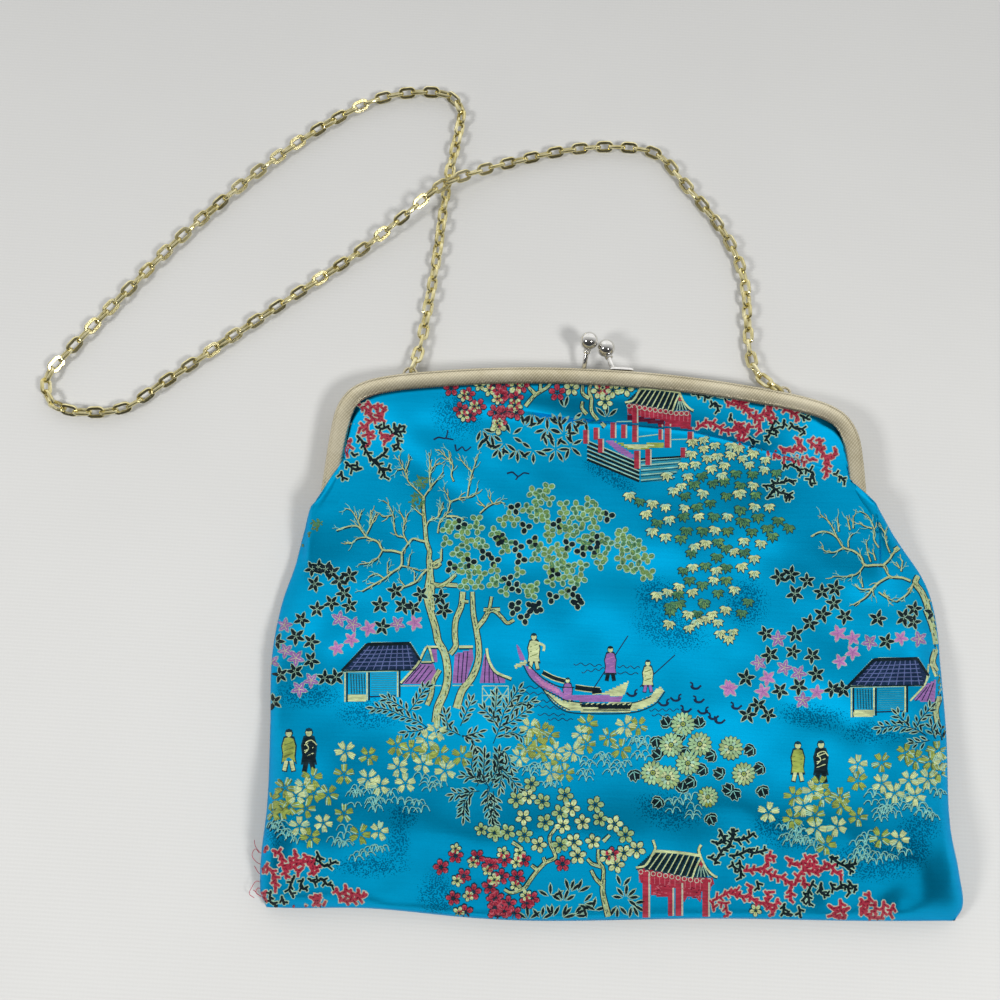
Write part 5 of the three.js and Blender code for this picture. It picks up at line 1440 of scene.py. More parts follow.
coral("red", lines(I, [((90, 690), (140, 690), (200, 680), (260, 720), (330, 740), (400, 780), (430, 730), (480, 670), (520, 650), (560, 700), (610, 650), (660, 700), (700, 720)),
                       ((350, 610), (400, 650), (470, 640), (500, 600), (540, 640)), ((230, 600), (280, 602)), ((230, 600), (235, 660)), ((380, 800), (380, 880)), ((460, 740), (470, 800)), ((470, 690), (540, 700)),
                       ((0, 830), (60, 850), (120, 850), (130, 790)), ((120, 850), (170, 890), (230, 890), (240, 830)), ((230, 890), (260, 940), (270, 970)), ((300, 870), (280, 920)),
                       ((690, 880), (690, 940), (640, 970), (720, 990)), ((620, 910), (660, 940)), ((742, 930), (700, 950)), ((870, 830), (870, 890), (830, 930), (880, 980), (960, 990)), ((820, 870), (850, 900)),
                       ((910, 890), (910, 960)), ((962, 890), (960, 960)), ((1022, 910), (1000, 960)), ((820, 930), (820, 960))]), 4.8)
coral("red", lines(H, [((1400, 940), (1400, 880), (1460, 850), (1520, 820), (1568, 830)), ((1480, 900), (1490, 975)), ((1430, 890), (1480, 900))]), 3.8)

# leaves of the left wood and the right one
layer(17)
for sh, pts in ((A, ((360, 1310), (400, 1298), (445, 1312), (482, 1332), (375, 1405))),
                (D, ((560, 130), (625, 100), (590, 210), (510, 270), (420, 310), (325, 375), (625, 285), (815, 285), (960, 290), (1025, 300), (1070, 215), (1195, 235), (1215, 315), (830, 420), (290, 480), (385, 515),
                     (168, 510), (385, 630), (190, 720), (285, 700), (470, 740), (540, 735), (150, 890), (910, 195), (178, 372))),
                (F, ((225, 210), (410, 215), (500, 145), (580, 90), (650, 20), (720, 105), (925, 115), (1090, 110), (1150, 140), (1155, 55), (1270, 80), (250, 345), (395, 325), (515, 350), (980, 260), (540, 465), (100, 490),
                     (315, 570), (430, 545), (640, 560), (710, 560), (175, 660), (110, 720), (240, 720))),
                (C, ((275, 1235), (350, 1220), (450, 1260), (375, 1340), (545, 1330), (630, 1305)))):
    for p in on(sh, pts):
        star_leaf(p)
layer(18)
for sh, pts in ((D, ((560, 370), (645, 405), (745, 430), (925, 400), (1035, 395), (635, 500), (545, 555), (220, 410), (225, 570), (290, 615), (385, 755), (310, 810), (140, 640))),
                (F, ((680, 210), (770, 240), (875, 265), (1070, 240), (1185, 245), (770, 330), (690, 385), (300, 245), (180, 395), (340, 425), (235, 490), (430, 460), (205, 575), (545, 580), (455, 630), (0, 560))),
                (E, ((1490, 550),))):
    for p in on(sh, pts):
        lilac_flower(p)

# bamboo-like leaves
layer(20)
for sh, fans in (
    (B, [(380, 560, 6, 0, 5.2), (470, 540, 5, -2.6, 4.4), (140, 555, 3, 0.9, 1.4), (240, 565, 4, 0.4, 3.4), (430, 462, 5, -2.8, 3.6), (330, 430, 4, 0.4, 2.4), (185, 425, 3, -1.8, 1.5), (100, 475, 3, -2.0, 2.6), (60, 520, 3, 0.6, 2.0),
         (480, 385, 4, -0.6, 2.4), (560, 360, 3, 0.6, 1.6), (325, 350, 3, 0.7, 1.6), (235, 335, 3, 0.9, 1.6), (400, 420, 3, -2.0, 1.2), (300, 455, 2, 0.5, 0.8), (435, 310, 2, -1.9, 0.6), (700, 365, 3, -2.3, 1.5), (20, 545, 2, 0.5, 0.9)]),
    (A, [(1420, 430, 3, 0.3, 1.6), (1480, 460, 3, 0.6, 1.6), (1440, 480, 2, 1.0, 1.0), (1540, 545, 2, 2.2, 1.0)]),
    (H, [(240, 1000, 3, -2.6, 2.0), (320, 1000, 3, -2.2, 1.6), (390, 990, 3, -2.0, 1.0), (450, 990, 3, -1.2, 0.9), (520, 975, 3, -0.9, 0.8), (460, 890, 4, -2.5, 1.9), (500, 830, 3, -1.9, 1.2), (380, 860, 3, -2.6, 2.2),
         (580, 900, 4, -0.8, 2.0), (640, 945, 3, -2.6, 2.4), (825, 800, 2, -2.0, 1.2), (850, 865, 6, -2.9, 3.6), (800, 905, 3, 0.9, 1.3), (890, 900, 4, -0.2, 2.0), (545, 830, 2, -1.3, 0.8)]),
):
    for x, y, n, start, sweep in fans:
        leaf_fan(on(sh, (x, y))[0], n, start, sweep)
for sh, stems in (
    (D, [((1110, 1050), (1050, 1010), (960, 980), (870, 940), (780, 930)), ((1000, 960), (940, 915), (860, 870)), ((1000, 950), (1050, 880), (1100, 800)), ((1110, 1050), (1060, 1070), (985, 1078)), ((1320, 1100), (1260, 1070), (1200, 1052)),
         ((1330, 1110), (1380, 1095), (1435, 1080)), ((1320, 1040), (1350, 970), (1385, 890)), ((1560, 1050), (1520, 990), (1470, 940)), ((1240, 1060), (1235, 1010), (1225, 970)), ((1330, 1100), (1390, 1120), (1410, 1170)),
         ((1420, 1420), (1460, 1350), (1470, 1220)), ((1430, 1400), (1390, 1300), (1400, 1230)), ((1480, 1400), (1540, 1330), (1560, 1210)), ((1500, 1420), (1500, 1480), (1530, 1560)), ((1400, 1440), (1350, 1500), (1340, 1560))]),
    (E, [((20, 900), (60, 800), (90, 700), (180, 560)), ((60, 800), (120, 770), (230, 690)), ((60, 860), (130, 830), (210, 860)), ((0, 760), (30, 700), (40, 600)), ((20, 980), (70, 1060), (60, 1180)), ((70, 1060), (130, 1120), (180, 1190)),
         ((20, 1200), (30, 1280), (20, 1360)), ((40, 940), (100, 960), (130, 1060)), ((130, 720), (170, 650), (260, 640))]),
    (F, [((1230, 850), (1160, 810), (1060, 790), (945, 800)), ((1160, 810), (1200, 740), (1255, 680)), ((1120, 790), (1080, 750), (1050, 720)), ((1250, 880), (1210, 890), (1160, 895)), ((1330, 880), (1320, 830), (1335, 790)), ((1290, 870), (1270, 830), (1262, 790))]),
    (G, [((1500, 300), (1470, 240), (1470, 120)), ((1480, 280), (1420, 230), (1350, 230)), ((1440, 320), (1360, 330), (1280, 340)), ((1400, 330), (1350, 400), (1340, 480)), ((1490, 300), (1490, 400), (1520, 500)), ((1510, 290), (1540, 220), (1560, 130))]),
):
    for p in lines(sh, stems):
        spray(p)

# canopy of the middle trees
layer(23)
for x, y, r in ((1045, 770, 42), (1010, 880, 48), (385, 1030, 30), (322, 1100, 24), (300, 1150, 18)):
    c = on(A, (x, y))[0]
    for _ in range(int(r * 1.1)):
        a, q = random.uniform(0, 6.28), r / 6.272 * random.random() ** 0.5
        p = around(c, q, a)
        stroke(random.choice(("green", "olive", "green")), [p, around(p, 2.6, random.uniform(0, 6.28))], 1.2, 0.02, 3, back=False)
for sh, col, pts in (
    (A, "green", ((1200, 1060), (1235, 1030), (1200, 1140), (1390, 1000), (1330, 1060), (1400, 1060), (1380, 1140), (1290, 1100), (1320, 1160), (1430, 1160), (1500, 1080), (1262, 1210), (1310, 1230), (1272, 1300), (1320, 1320), (1380, 1310),
                  (1340, 1380), (1420, 1345), (1500, 1310), (1310, 1412), (1400, 1412), (1490, 1400))),
    (B, "green", ((235, 830), (300, 830), (335, 800), (270, 880), (340, 880), (195, 935), (250, 930), (300, 960), (250, 985), (320, 1000), (430, 910), (430, 970), (510, 920), (505, 980), (590, 890), (560, 950), (630, 930), (600, 990), (660, 970),
                  (550, 1010), (620, 1040), (520, 1060), (85, 980), (120, 1010), (50, 1010), (340, 1070), (340, 1110), (420, 1060), (460, 1040), (470, 1090), (250, 1160), (290, 1180), (250, 1240), (330, 1220), (380, 1180), (440, 1200), (350, 1260),
                  (420, 1240), (440, 1290), (550, 1130), (600, 1110), (570, 1160), (680, 1120), (640, 1220), (680, 1230), (660, 1280), (710, 1160), (800, 1080), (780, 1110), (830, 1130), (880, 1140), (910, 1180), (850, 1190), (790, 1170), (790, 1240),
                  (860, 1230), (910, 1250), (960, 1240), (800, 1290), (850, 1310), (900, 1300), (940, 1350), (970, 1340), (30, 1110), (60, 1190), (80, 1150), (150, 1330), (340, 1310), (400, 1300), (480, 1300), (550, 1290), (450, 1350),
                  (420, 1380), (350, 1390), (540, 1370), (500, 1390), (440, 1460), (20, 1380), (60, 1450), (200, 1430), (250, 1420), (230, 1470))),
    (B, "black", ((125, 930), (710, 980), (390, 1030), (190, 1050), (240, 1140), (140, 1170), (630, 1130), (460, 1160), (540, 1200), (160, 1250), (620, 1190), (370, 1340), (80, 1380), (130, 1430), (360, 1490), (480, 1450), (520, 1510), (30, 1120),
                  (130, 1540), (230, 1550))),
    (A, "black", ((1290, 1030), (1540, 1130), (1230, 1300), (1350, 1270), (1440, 1220), (1500, 1260))),
    (E, "black", ((150, 60), (270, 60), (215, 115), (545, 20), (300, 45))),
):
    for p in on(sh, pts):
        trefoil(p, col)

# hanging leaves
layer(26)
for sh, col, pts in (
    (B, "green", ((1300, 735), (1370, 780), (1440, 770), (1510, 720), (1250, 790), (1195, 860), (905, 895), (1450, 860), (1350, 905), (1270, 930), (1015, 1030), (1185, 990), (1370, 990), (1540, 950), (1545, 1020), (1165, 1130), (1300, 1080), (1200, 1080),
                  (1460, 1080), (1400, 1150), (1450, 1190), (1230, 1220), (1390, 1245), (1180, 1330), (1320, 1300), (1450, 1310), (1220, 1390), (1450, 1390), (1300, 1420), (1150, 1480), (1400, 1470), (1160, 1540), (1310, 1530), (1100, 1550))),
    (C, "green", ((260, 590), (30, 670), (130, 730), (30, 820), (145, 870), (60, 900), (270, 890), (335, 935), (105, 960), (205, 940), (235, 990), (60, 1090), (80, 1400), (40, 1470), (110, 600))),
    (E, "green", ((1130, 80), (1345, 30), (1300, 95))),
    (B, "cream", ((1240, 525), (1310, 510), (1310, 565), (1380, 545), (1480, 550), (1230, 600), (1330, 625), (1395, 615), (1475, 605), (1180, 670), (1255, 665), (1360, 690), (1435, 670), (1080, 735), (1210, 740), (1425, 735),
                  (1170, 800), (1120, 830), (1300, 845), (1530, 845), (845, 860), (985, 910), (1070, 930), (1185, 935), (950, 975), (1095, 1010), (1280, 990), (1455, 990), (985, 1085), (1070, 1120), (1375, 1075), (1255, 1180), (1320, 1160),
                  (1500, 1210), (1240, 1310), (1390, 1330), (1370, 1390), (1150, 1430), (1015, 1485), (1080, 1465), (1240, 1465), (1500, 1450))),
    (C, "cream", ((20, 440), (110, 470), (50, 500), (190, 510), (90, 540), (180, 570), (110, 670), (35, 720), (120, 805), (215, 805), (55, 1020), (160, 1035), (120, 1130), (45, 1180), (120, 1225), (150, 440))),
    (E, "cream", ((1120, 160), (1240, 100), (1250, 185), (1395, 100), (1300, 150), (1355, 130), (1430, 150), (1475, 70), (1445, 220), (1525, 210), (1495, 255))),
):
    for p in on(sh, pts):
        maple(p, col)

# blossoms over the upper and the lower garden
layer(28)
for sh, paths in ((B, [((190, 290), (250, 220), (330, 170), (350, 145)), ((250, 212), (210, 170)), ((285, 190), (285, 150)), ((690, 420), (640, 370), (605, 320), (605, 240), (590, 200), (600, 150)), ((575, 340), (545, 300), (550, 260)), ((590, 240), (550, 210), (550, 160))]),
                  (H, [((220, 800), (260, 740), (300, 690), (350, 640), (410, 610), (400, 570), (380, 530), (375, 480), (410, 430)), ((300, 690), (260, 660)), ((345, 640), (335, 610)), ((710, 670), (640, 650), (610, 620)), ((700, 780), (660, 740), (635, 690)),
                       ((710, 510), (750, 470)), ((220, 800), (130, 830), (90, 810)), ((740, 975), (720, 900), (705, 820), (710, 740), (710, 680), (680, 630), (680, 560)), ((140, 515), (190, 545))])):
    for p in lines(sh, paths):
        trunk(p, 3.6, 2.6)
trunk(on(H, ((742, 978), (722, 900), (706, 820), (710, 750))), 6.0, 4.0)
layer(29)
for sh, col, R, pts in (
    (A, "red", 8.0, ((1230, 180), (1335, 215), (1290, 312), (1400, 290), (1500, 165), (1545, 220), (1545, 340), (1350, 350))),
    (A, "cream", 6.2, ((1310, 225), (1470, 190), (1520, 245), (1310, 350), (1520, 400), (1375, 295), (1410, 160))),
    (B, "red", 8.4, ((50, 150), (170, 160), (40, 230), (130, 240), (60, 330), (130, 330), (30, 385), (390, 205), (675, 175), (5, 330))),
    (B, "cream", 8.2, ((480, 178), (650, 195), (690, 262), (740, 190), (820, 180), (20, 420), (130, 165), (125, 285))),
    (H, "pale", 8.8, ((260, 150), (165, 250), (330, 260), (345, 390), (470, 220), (440, 330), (690, 370), (30, 460), (110, 450), (215, 470), (440, 530), (660, 280), (850, 470))),
    (H, "cream", 8.8, ((240, 230), (210, 360), (510, 300), (455, 410), (580, 390), (780, 400), (305, 530), (525, 510), (645, 510), (920, 560), (840, 580), (550, 600), (735, 605), (790, 655))),
    (H, "red", 8.4, ((455, 650), (765, 590), (90, 620), (210, 625), (10, 655), (70, 730), (170, 735), (40, 860), (30, 925), (90, 940), (60, 975), (150, 960), (230, 890), (262, 868), (0, 790), (115, 900))),
    (H, "cream", 6.6, ((80, 580), (165, 640), (30, 745), (160, 785), (185, 580), (225, 845))),
    (G, "red", 8.4, ((1290, 725), (1200, 795), (1340, 850), (1275, 990), (1400, 950), (1350, 1080), (1425, 735), (1500, 780), (1530, 1000), (1540, 1100))),
    (G, "cream", 6.2, ((1290, 680), (1400, 765), (1300, 880), (1370, 975), (1310, 1080), (1490, 815), (1530, 875))),
    (G, "pale", 7.6, ((1450, 560), (1530, 580))),
    (I, "cream", 6.6, ((160, 940),)),
):
    for p in on(sh, pts):
        blossom(p, col, R)

# wild flowers and grass
layer(31)
for sh, arcs in (
    (D, [((1040, 1370), (1110, 1370), (1135, 1480)), ((1090, 1440), (1160, 1410), (1220, 1460)), ((720, 1460), (680, 1480), (650, 1560)), ((800, 1500), (770, 1540), (780, 1568)), ((900, 1460), (860, 1500), (845, 1540))]),
    (G, [((740, 310), (790, 380), (780, 480)), ((890, 380), (970, 400), (1010, 480)), ((1000, 400), (1060, 410), (1080, 470)), ((600, 690), (590, 610), (620, 560)), ((640, 780), (680, 740), (760, 730)), ((740, 730), (810, 690), (850, 730)),
         ((200, 540), (160, 540), (140, 580)), ((220, 610), (270, 620), (310, 670)), ((510, 670), (550, 650), (600, 700)), ((690, 310), (660, 340), (650, 380)), ((150, 560), (210, 580), (240, 640))]),
    (E, [((540, 1020), (600, 1030), (640, 1080)), ((690, 1040), (740, 1040), (775, 1110)), ((790, 1090), (820, 1050), (870, 1030)), ((690, 1030), (710, 990), (740, 970)), ((900, 990), (940, 980), (990, 1010)), ((930, 930), (965, 900), (1000, 940)),
         ((560, 1090), (600, 1100), (600, 1170)), ((320, 1170), (380, 1160), (430, 1200)), ((880, 870), (920, 900), (930, 940)), ((1200, 1310), (1230, 1250), (1290, 1240)), ((1290, 1310), (1270, 1370), (1270, 1400)), ((1130, 1250), (1150, 1290), (1140, 1340)),
         ((215, 1060), (250, 1080), (260, 1130)), ((290, 1060), (320, 1060), (330, 1100))]),
    (F, [((880, 1290), (900, 1230), (920, 1200)), ((960, 1270), (1000, 1310), (1060, 1380)), ((1000, 1310), (960, 1350), (940, 1400)), ((1060, 1310), (1080, 1260), (1110, 1240)), ((1100, 1340), (1180, 1320), (1230, 1390)), ((1210, 1340), (1260, 1360), (1270, 1390)),
         ((1220, 1200), (1290, 1200), (1330, 1280)), ((390, 1380), (440, 1460), (480, 1560)), ((430, 1440), (360, 1430), (300, 1470)), ((440, 1480), (380, 1480), (340, 1520))]),
    (I, [((480, 540), (430, 470), (400, 390)), ((470, 520), (400, 520), (370, 560)), ((480, 540), (520, 540), (545, 590)), ((890, 640), (840, 570), (760, 500)), ((870, 600), (800, 600), (760, 630)), ((850, 560), (850, 500), (870, 470)), ((900, 660), (950, 610), (1000, 650)),
         ((990, 640), (1060, 580), (1135, 620)), ((880, 640), (820, 630), (790, 660)), ((1060, 250), (1100, 240), (1130, 290)), ((1000, 310), (950, 330), (935, 390)), ((1100, 330), (1180, 320), (1225, 390))]),
):
    for p in lines(sh, arcs):
        grass(p, 3, 8.0)
layer(32)
for sh, col, pts in (
    (D, "cream", ((600, 1200), (740, 1370), (815, 1415), (930, 1300), (975, 1400), (1110, 1130), (1085, 1280), (1225, 1320), (1170, 1075))),
    (D, "lime", ((745, 1230), (590, 1345), (920, 1165), (1010, 1195), (1190, 1220), (1330, 1230), (1120, 1200))),
    (G, "lime", ((220, 300), (390, 240), (400, 335), (490, 340), (135, 380), (200, 440), (350, 430), (590, 460), (380, 610), (690, 590), (245, 415), (150, 450))),
    (G, "cream", ((290, 350), (340, 295), (460, 520), (310, 540), (810, 570))),
    (E, "lime", ((610, 780), (740, 860), (930, 790), (605, 905), (820, 935), (320, 820), (370, 850), (230, 930), (290, 940), (330, 960), (440, 1020), (470, 1085), (280, 870))),
    (E, "cream", ((850, 790), (250, 800), (185, 985), (380, 1080), (520, 950), (410, 950), (570, 840))),
    (F, "lime", ((950, 1020), (800, 1135), (1100, 960), (1160, 1000), (1260, 1010), (1310, 1080), (1300, 950), (560, 1160), (690, 1240), (400, 1230), (580, 1235), (390, 1370), (530, 1350), (800, 1360), (600, 1535), (940, 1490), (700, 1290))),
    (F, "cream", ((800, 1030), (1120, 1130), (950, 1150), (1030, 1210), (1160, 1230), (520, 1200), (460, 1290), (240, 1330), (540, 1430), (670, 1420), (1060, 1500), (1330, 1010), (1240, 1120))),
):
    for p in on(sh, pts):
        notch_flower(p, col)
layer(35)
for p in on(E, ((1120, 790), (1315, 795), (1040, 865), (1220, 850), (1070, 985), (1410, 970), (1350, 1050), (1460, 1100), (900, 1075), (1280, 1130), (1200, 1200), (1070, 1250), (1515, 1200), (1375, 1350), (1235, 930))):
    dark_leaf(p)
for p in on(F, ((145, 930), (205, 1045), (195, 1175), (20, 1195))):
    dark_leaf(p)
layer(37)
for p in on(E, ((1210, 780), (1135, 910), (1315, 905), (1240, 1025), (1020, 1085), (1115, 1115), (1510, 930))):
    mum(p)
mum(on(E, (1365, 1235))[0], 10.8, "lime")
mum(on(F, (85, 1092))[0], 12.0)


# ---- a few frayed ends of red thread at the corners
def loose_end(uv, z, r=0.1):
    k = view_ray(curve(uv, 1.0))
    p = CAM_AT + k * ((z - CAM_AT[2]) / k[:, 2])[:, None]
    p[:, 2] += 0.5 * np.sin(np.linspace(0, 5.5, len(p)))
    t = np.gradient(p, axis=0)
    n = np.cross(t, (0, 0, 1.0))
    n /= np.linalg.norm(n, axis=1, keepdims=True)
    b = np.cross(n, t)
    b /= np.linalg.norm(b, axis=1, keepdims=True)
    ring = np.stack([p + r * n, p + r * b, p - r * n, p - r * b], 1)
    ids = np.arange(4 * len(p)).reshape(-1, 4)
    f = [(ids[0, 0], ids[0, 1], ids[0, 2]), (ids[0, 0], ids[0, 2], ids[0, 3]), (ids[-1, 0], ids[-1, 2], ids[-1, 1]), (ids[-1, 0], ids[-1, 3], ids[-1, 2])]
    for i in range(len(p) - 1):
        for m in range(4):
            a, c, d, e = ids[i, m], ids[i, (m + 1) % 4], ids[i + 1, (m + 1) % 4], ids[i + 1, m]
            f += [(a, d, c), (a, e, d)]
    return ring.reshape(-1, 3), np.array(f)


_v, _f, _n = [], [], 0
for _line, _z in ((((267, 858), (260, 852), (255, 846), (254, 840)), 3.6), (((265, 866), (257, 862), (252, 855), (255, 849), (259, 853)), 3.4), (((264, 876), (258, 872), (254, 866)), 3.2),
                  (((264, 884), (257, 881), (252, 887), (249, 894), (254, 898)), 3.2), (((264, 890), (258, 888), (256, 893), (261, 897)), 3.4), (((266, 896), (259, 895), (253, 890)), 3.0),
                  (((946, 836), (951, 838), (953, 842)), 3.4), (((944, 840), (950, 843), (949, 847)), 3.2)):
    _a, _b = loose_end(_line, _z)
    _v.append(_a)
    _f.append(_b + _n)
    _n += len(_a)
frayed = mesh_object("frayed_ends", np.vstack(_v), np.vstack(_f), thread("silk_frayed", (0.45, 0.05, 0.08), 0.3), False)
outward(frayed)
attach(frayed, "root")


# ---- stippled shading, kept on the cloth as a density
def to_view(p):
    q = p - CAM_AT
    k = q @ _d
    return np.stack([500 + CAM_F * (q @ _r) / k, 500 - CAM_F * (q @ _u) / k], -1)


_turned = bag_v * (-1, 1, 0) + (14.0, 0, 12.0)
_dense = stippled(to_view(np.where(bag_v[:, 2:3] > 5.0, bag_v, _turned)))
bag.data.attributes.new("stipple", "FLOAT", "POINT").data.foreach_set("value", _dense)


# ---- the pads are laid on both faces of the bag, one mesh for each thread
THREADS = {  # colour, spread of tone
    "cream": ((0.375, 0.440, 0.225), 0.45), "mint": ((0.235, 0.400, 0.295), 0.35), "frost": ((0.140, 0.370, 0.330), 0.25), "rim": ((0.330, 0.350, 0.275), 0.25), "sage": ((0.225, 0.370, 0.190), 0.4),
    "bark": ((0.310, 0.370, 0.180), 0.28), "pale": ((0.215, 0.305, 0.125), 0.3), "lime": ((0.205, 0.265, 0.045), 0.5), "olive": ((0.085, 0.135, 0.030), 0.35),
    "green": ((0.040, 0.140, 0.055), 0.45), "leaf": ((0.095, 0.205, 0.058), 0.45), "red": ((0.255, 0.012, 0.031), 0.4), "wine": ((0.075, 0.005, 0.017), 0.35),
    "rose": ((0.360, 0.090, 0.120), 0.25), "black": ((0.0012, 0.008, 0.012), 0.5), "deep": ((0.002, 0.026, 0.042), 0.4), "navy": ((0.004, 0.016, 0.048), 0.4),
    "slate": ((0.060, 0.085, 0.210), 0.3), "lilac": ((0.210, 0.090, 0.280), 0.3), "pink": ((0.350, 0.140, 0.310), 0.25), "aqua": ((0.006, 0.180, 0.260), 0.3),
}


def ground(uv):
    """Where the view meets a level sheet at the height of the front."""
    k = view_ray(uv)
    t = (12.0 - CAM_AT[2]) / k[:, 2]
    return CAM_AT[:2] + k[:, :2] * t[:, None]


for colour, jobs in threads.items():
    v, f, base = [], [], 0
    for reverse in (False, True):
        used = [j for j in jobs if j[3] or not reverse]
        if not used:
            continue
        uv = np.vstack([j[0] for j in used])
        lift = np.concatenate([j[1] for j in used])
        off = np.cumsum([0] + [len(j[0]) for j in used[:-1]])
        tri = np.vstack([j[2] + o for j, o in zip(used, off)])
        whole = np.concatenate([np.full(len(j[2]), i) for i, j in enumerate(used)])
        if reverse:
            xy = ground(uv)
            xy[:, 0] = 14.0 - xy[:, 0]
            p, n = BACK.at(xy)
        else:
            p, n = FRONT.at(uv)
        n = np.where(n[:, 2:3] * (-1 if reverse else 1) < 0, -n, n)
        good = ~np.isnan(p).any(1)
        lost = np.zeros(len(used), bool)
        lost[np.unique(whole[~good[tri].all(1)])] = True
        if not reverse:
            side = np.linalg.norm(p[tri] - p[np.roll(tri, 1, 1)], axis=-1) > 0.75 * np.linalg.norm(uv[tri] - uv[np.roll(tri, 1, 1)], axis=-1) + 0.6
            lost[np.unique(whole[side.any(1)])] = True
        tri = tri[~lost[whole]]
        p = p + n * lift[:, None] * (0.75 if reverse else 1.0)
        keep = np.unique(tri)
        new = np.full(len(p), -1)
        new[keep] = np.arange(len(keep)) + base
        t = new[tri]
        v.append(p[keep])
        f.append(t if not reverse else t[:, ::-1])
        base += len(keep)
    if not base:
        continue
    ob = mesh_object("silk_" + colour, np.vstack(v), np.vstack(f)[:, ::-1], thread("silk_" + colour, *THREADS[colour]), False)
    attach(ob, "root")

# ------------------------------------------------------------------ the frame
def frame_half(name, back, steps, teeth):
    z0, z1 = MID_Z + GAP / 2, TOP_Z
    dome = [(0.0, z0), (0.0, z1 - 1.7), (0.12, z1 - 1.1), (0.45, z1 - 0.62), (0.85, z1 - 0.5), (1.12, z1 - 0.62), (1.35, z1 - 0.5),
            (2.2, z1 - 0.16), (3.3, z1 - 0.02), (4.4, z1 - 0.1), (5.4, z1 - 0.32), (6.0, z1 - 0.62), (6.32, z1 - 1.0),
            (6.2, z1 - 1.2), (5.6, z1 - 1.25), (0.85, z1 - 1.3), (0.8, z1 - 1.6), (0.8, z0 + 0.8), (5.3, z0 + 0.8), (5.4, z0 + 0.7), (5.4, z0)]
    sec = np.array(dome)
    n = len(sec)
    w = np.linspace(-1, 1, steps + 1)
    toothed = np.zeros(n)
    toothed[11:15] = (0.35, 1.0, 1.0, 0.6)
    verts = []
    for j in range(n):
        inset = np.full(steps + 1, sec[j, 0])
        if teeth:
            inset = inset + toothed[j] * 0.17 * np.sin(w * math.pi * teeth)
        z = sec[j, 1] if not back else 2 * MID_Z - sec[j, 1]
        d = (w + 1) / 2 * RIM.length
        p, t = RIM.at(d), RIM.dir(d, 1.2)
        verts.append(np.stack([p[:, 0] + t[:, 1] * inset, p[:, 1] - t[:, 0] * inset, np.full(steps + 1, z)], -1))
    v = np.stack(verts, 1)                                  # step, section, xyz
    ids = np.arange((steps + 1) * n).reshape(steps + 1, n)
    a, b = ids[:-1], np.roll(ids[:-1], -1, 1)
    c, d = np.roll(ids[1:], -1, 1), ids[1:]
    faces = [tuple(q) for q in np.stack([a, b, c, d], -1).reshape(-1, 4)]
    faces += [tuple(ids[0][::-1]), tuple(ids[-1])]
    vv = v.reshape(-1, 3)
    parts = [(vv, faces)]
    if back:
        for side in (-1, 1):
            parts.append(eyelet_ring(side))
    ob = join_parts(name, parts, MAT_FRAME)
    outward(ob)
    m = ob.modifiers.new("edges", "EDGE_SPLIT")
    m.split_angle = math.radians(50)
    return ob


def join_parts(name, parts, material):
    v, f, base = [], [], 0
    for pv, pf in parts:
        v.append(np.asarray(pv))
        f += [tuple(int(i) + base for i in q) for q in pf]
        base += len(pv)
    return mesh_object(name, np.vstack(v), f, material)


def tube(points, radius, sides=12, closed=False, squash=(1.0, 1.0), up=(0, 0, 1)):
    """Round bar along a line, capped unless closed."""
    p = np.asarray(points, float)
    n = len(p)
    t = np.roll(p, -1, 0) - np.roll(p, 1, 0) if closed else np.gradient(p, axis=0)
    t /= np.linalg.norm(t, axis=1, keepdims=True)
    r = np.broadcast_to(radius, (n,))
    u = np.cross(t, np.asarray(up, float))
    weak = np.linalg.norm(u, axis=1) < 1e-3
    u[weak] = np.cross(t[weak], (1.0, 0.2, 0))
    u /= np.linalg.norm(u, axis=1, keepdims=True)
    w = np.cross(u, t)
    a = np.linspace(0, 2 * math.pi, sides, endpoint=False)
    ring = p[:, None] + r[:, None, None] * (squash[0] * np.cos(a)[None, :, None] * u[:, None] + squash[1] * np.sin(a)[None, :, None] * w[:, None])
    ids = np.arange(n * sides).reshape(n, sides)
    nxt = np.roll(ids, -1, 0) if closed else None
    lo, hi = (ids, nxt) if closed else (ids[:-1], ids[1:])
    f = [tuple(q) for q in np.stack([lo, np.roll(lo, -1, 1), np.roll(hi, -1, 1), hi], -1).reshape(-1, 4)]
    if not closed:
        f += [tuple(ids[0][::-1]), tuple(ids[-1])]
    return ring.reshape(-1, 3), f


def eyelet_centre(side):
    i = np.argmin(np.abs(_RIMXY[:, 0] - side * EYELET_X))
    return np.array([side * EYELET_X, _RIMXY[i, 1] + EYELET_R + 0.05, EYELET_Z])


def eyelet_ring(side):
    c = eyelet_centre(side)
    a = np.linspace(0, 2 * math.pi, 40, endpoint=False)
    return tube(np.stack([c[0] + EYELET_R * np.cos(a), c[1] + EYELET_R * np.sin(a), np.full(40, c[2])], -1), EYELET_WIRE, 12, True)


frame_front = frame_half("frame_front_band", False, 1100, 340)
frame_back = frame_half("frame_back_band", True, 420, 0)
for ob, nm in ((frame_front, "frame_front"), (frame_back, "frame_back")):
    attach(ob, "root")
    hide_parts(nm)


# ------------------------------------------------------------------ the chain
def chain_links():
    e0, e1 = eyelet_centre(-1), eyelet_centre(1)
    route = [np.array((x, y, CHAIN_Z + up)) for x, y, up in CHAIN_ROUTE]
    first = e0 + (route[0] - e0) / np.linalg.norm(route[0] - e0) * 1.25
    last = e1 + (route[-1] - e1) / np.linalg.norm(route[-1] - e1) * 1.25
    path = Path(catmull([first] + route + [last], 30))
    n = int(round(path.length / LINK_PITCH))
    n += 1 - n % 2
    joints = path.at(np.linspace(0, path.length, n + 1))
    joints[1:-1, 2] = np.maximum(joints[1:-1, 2], CHAIN_Z)
    return joints


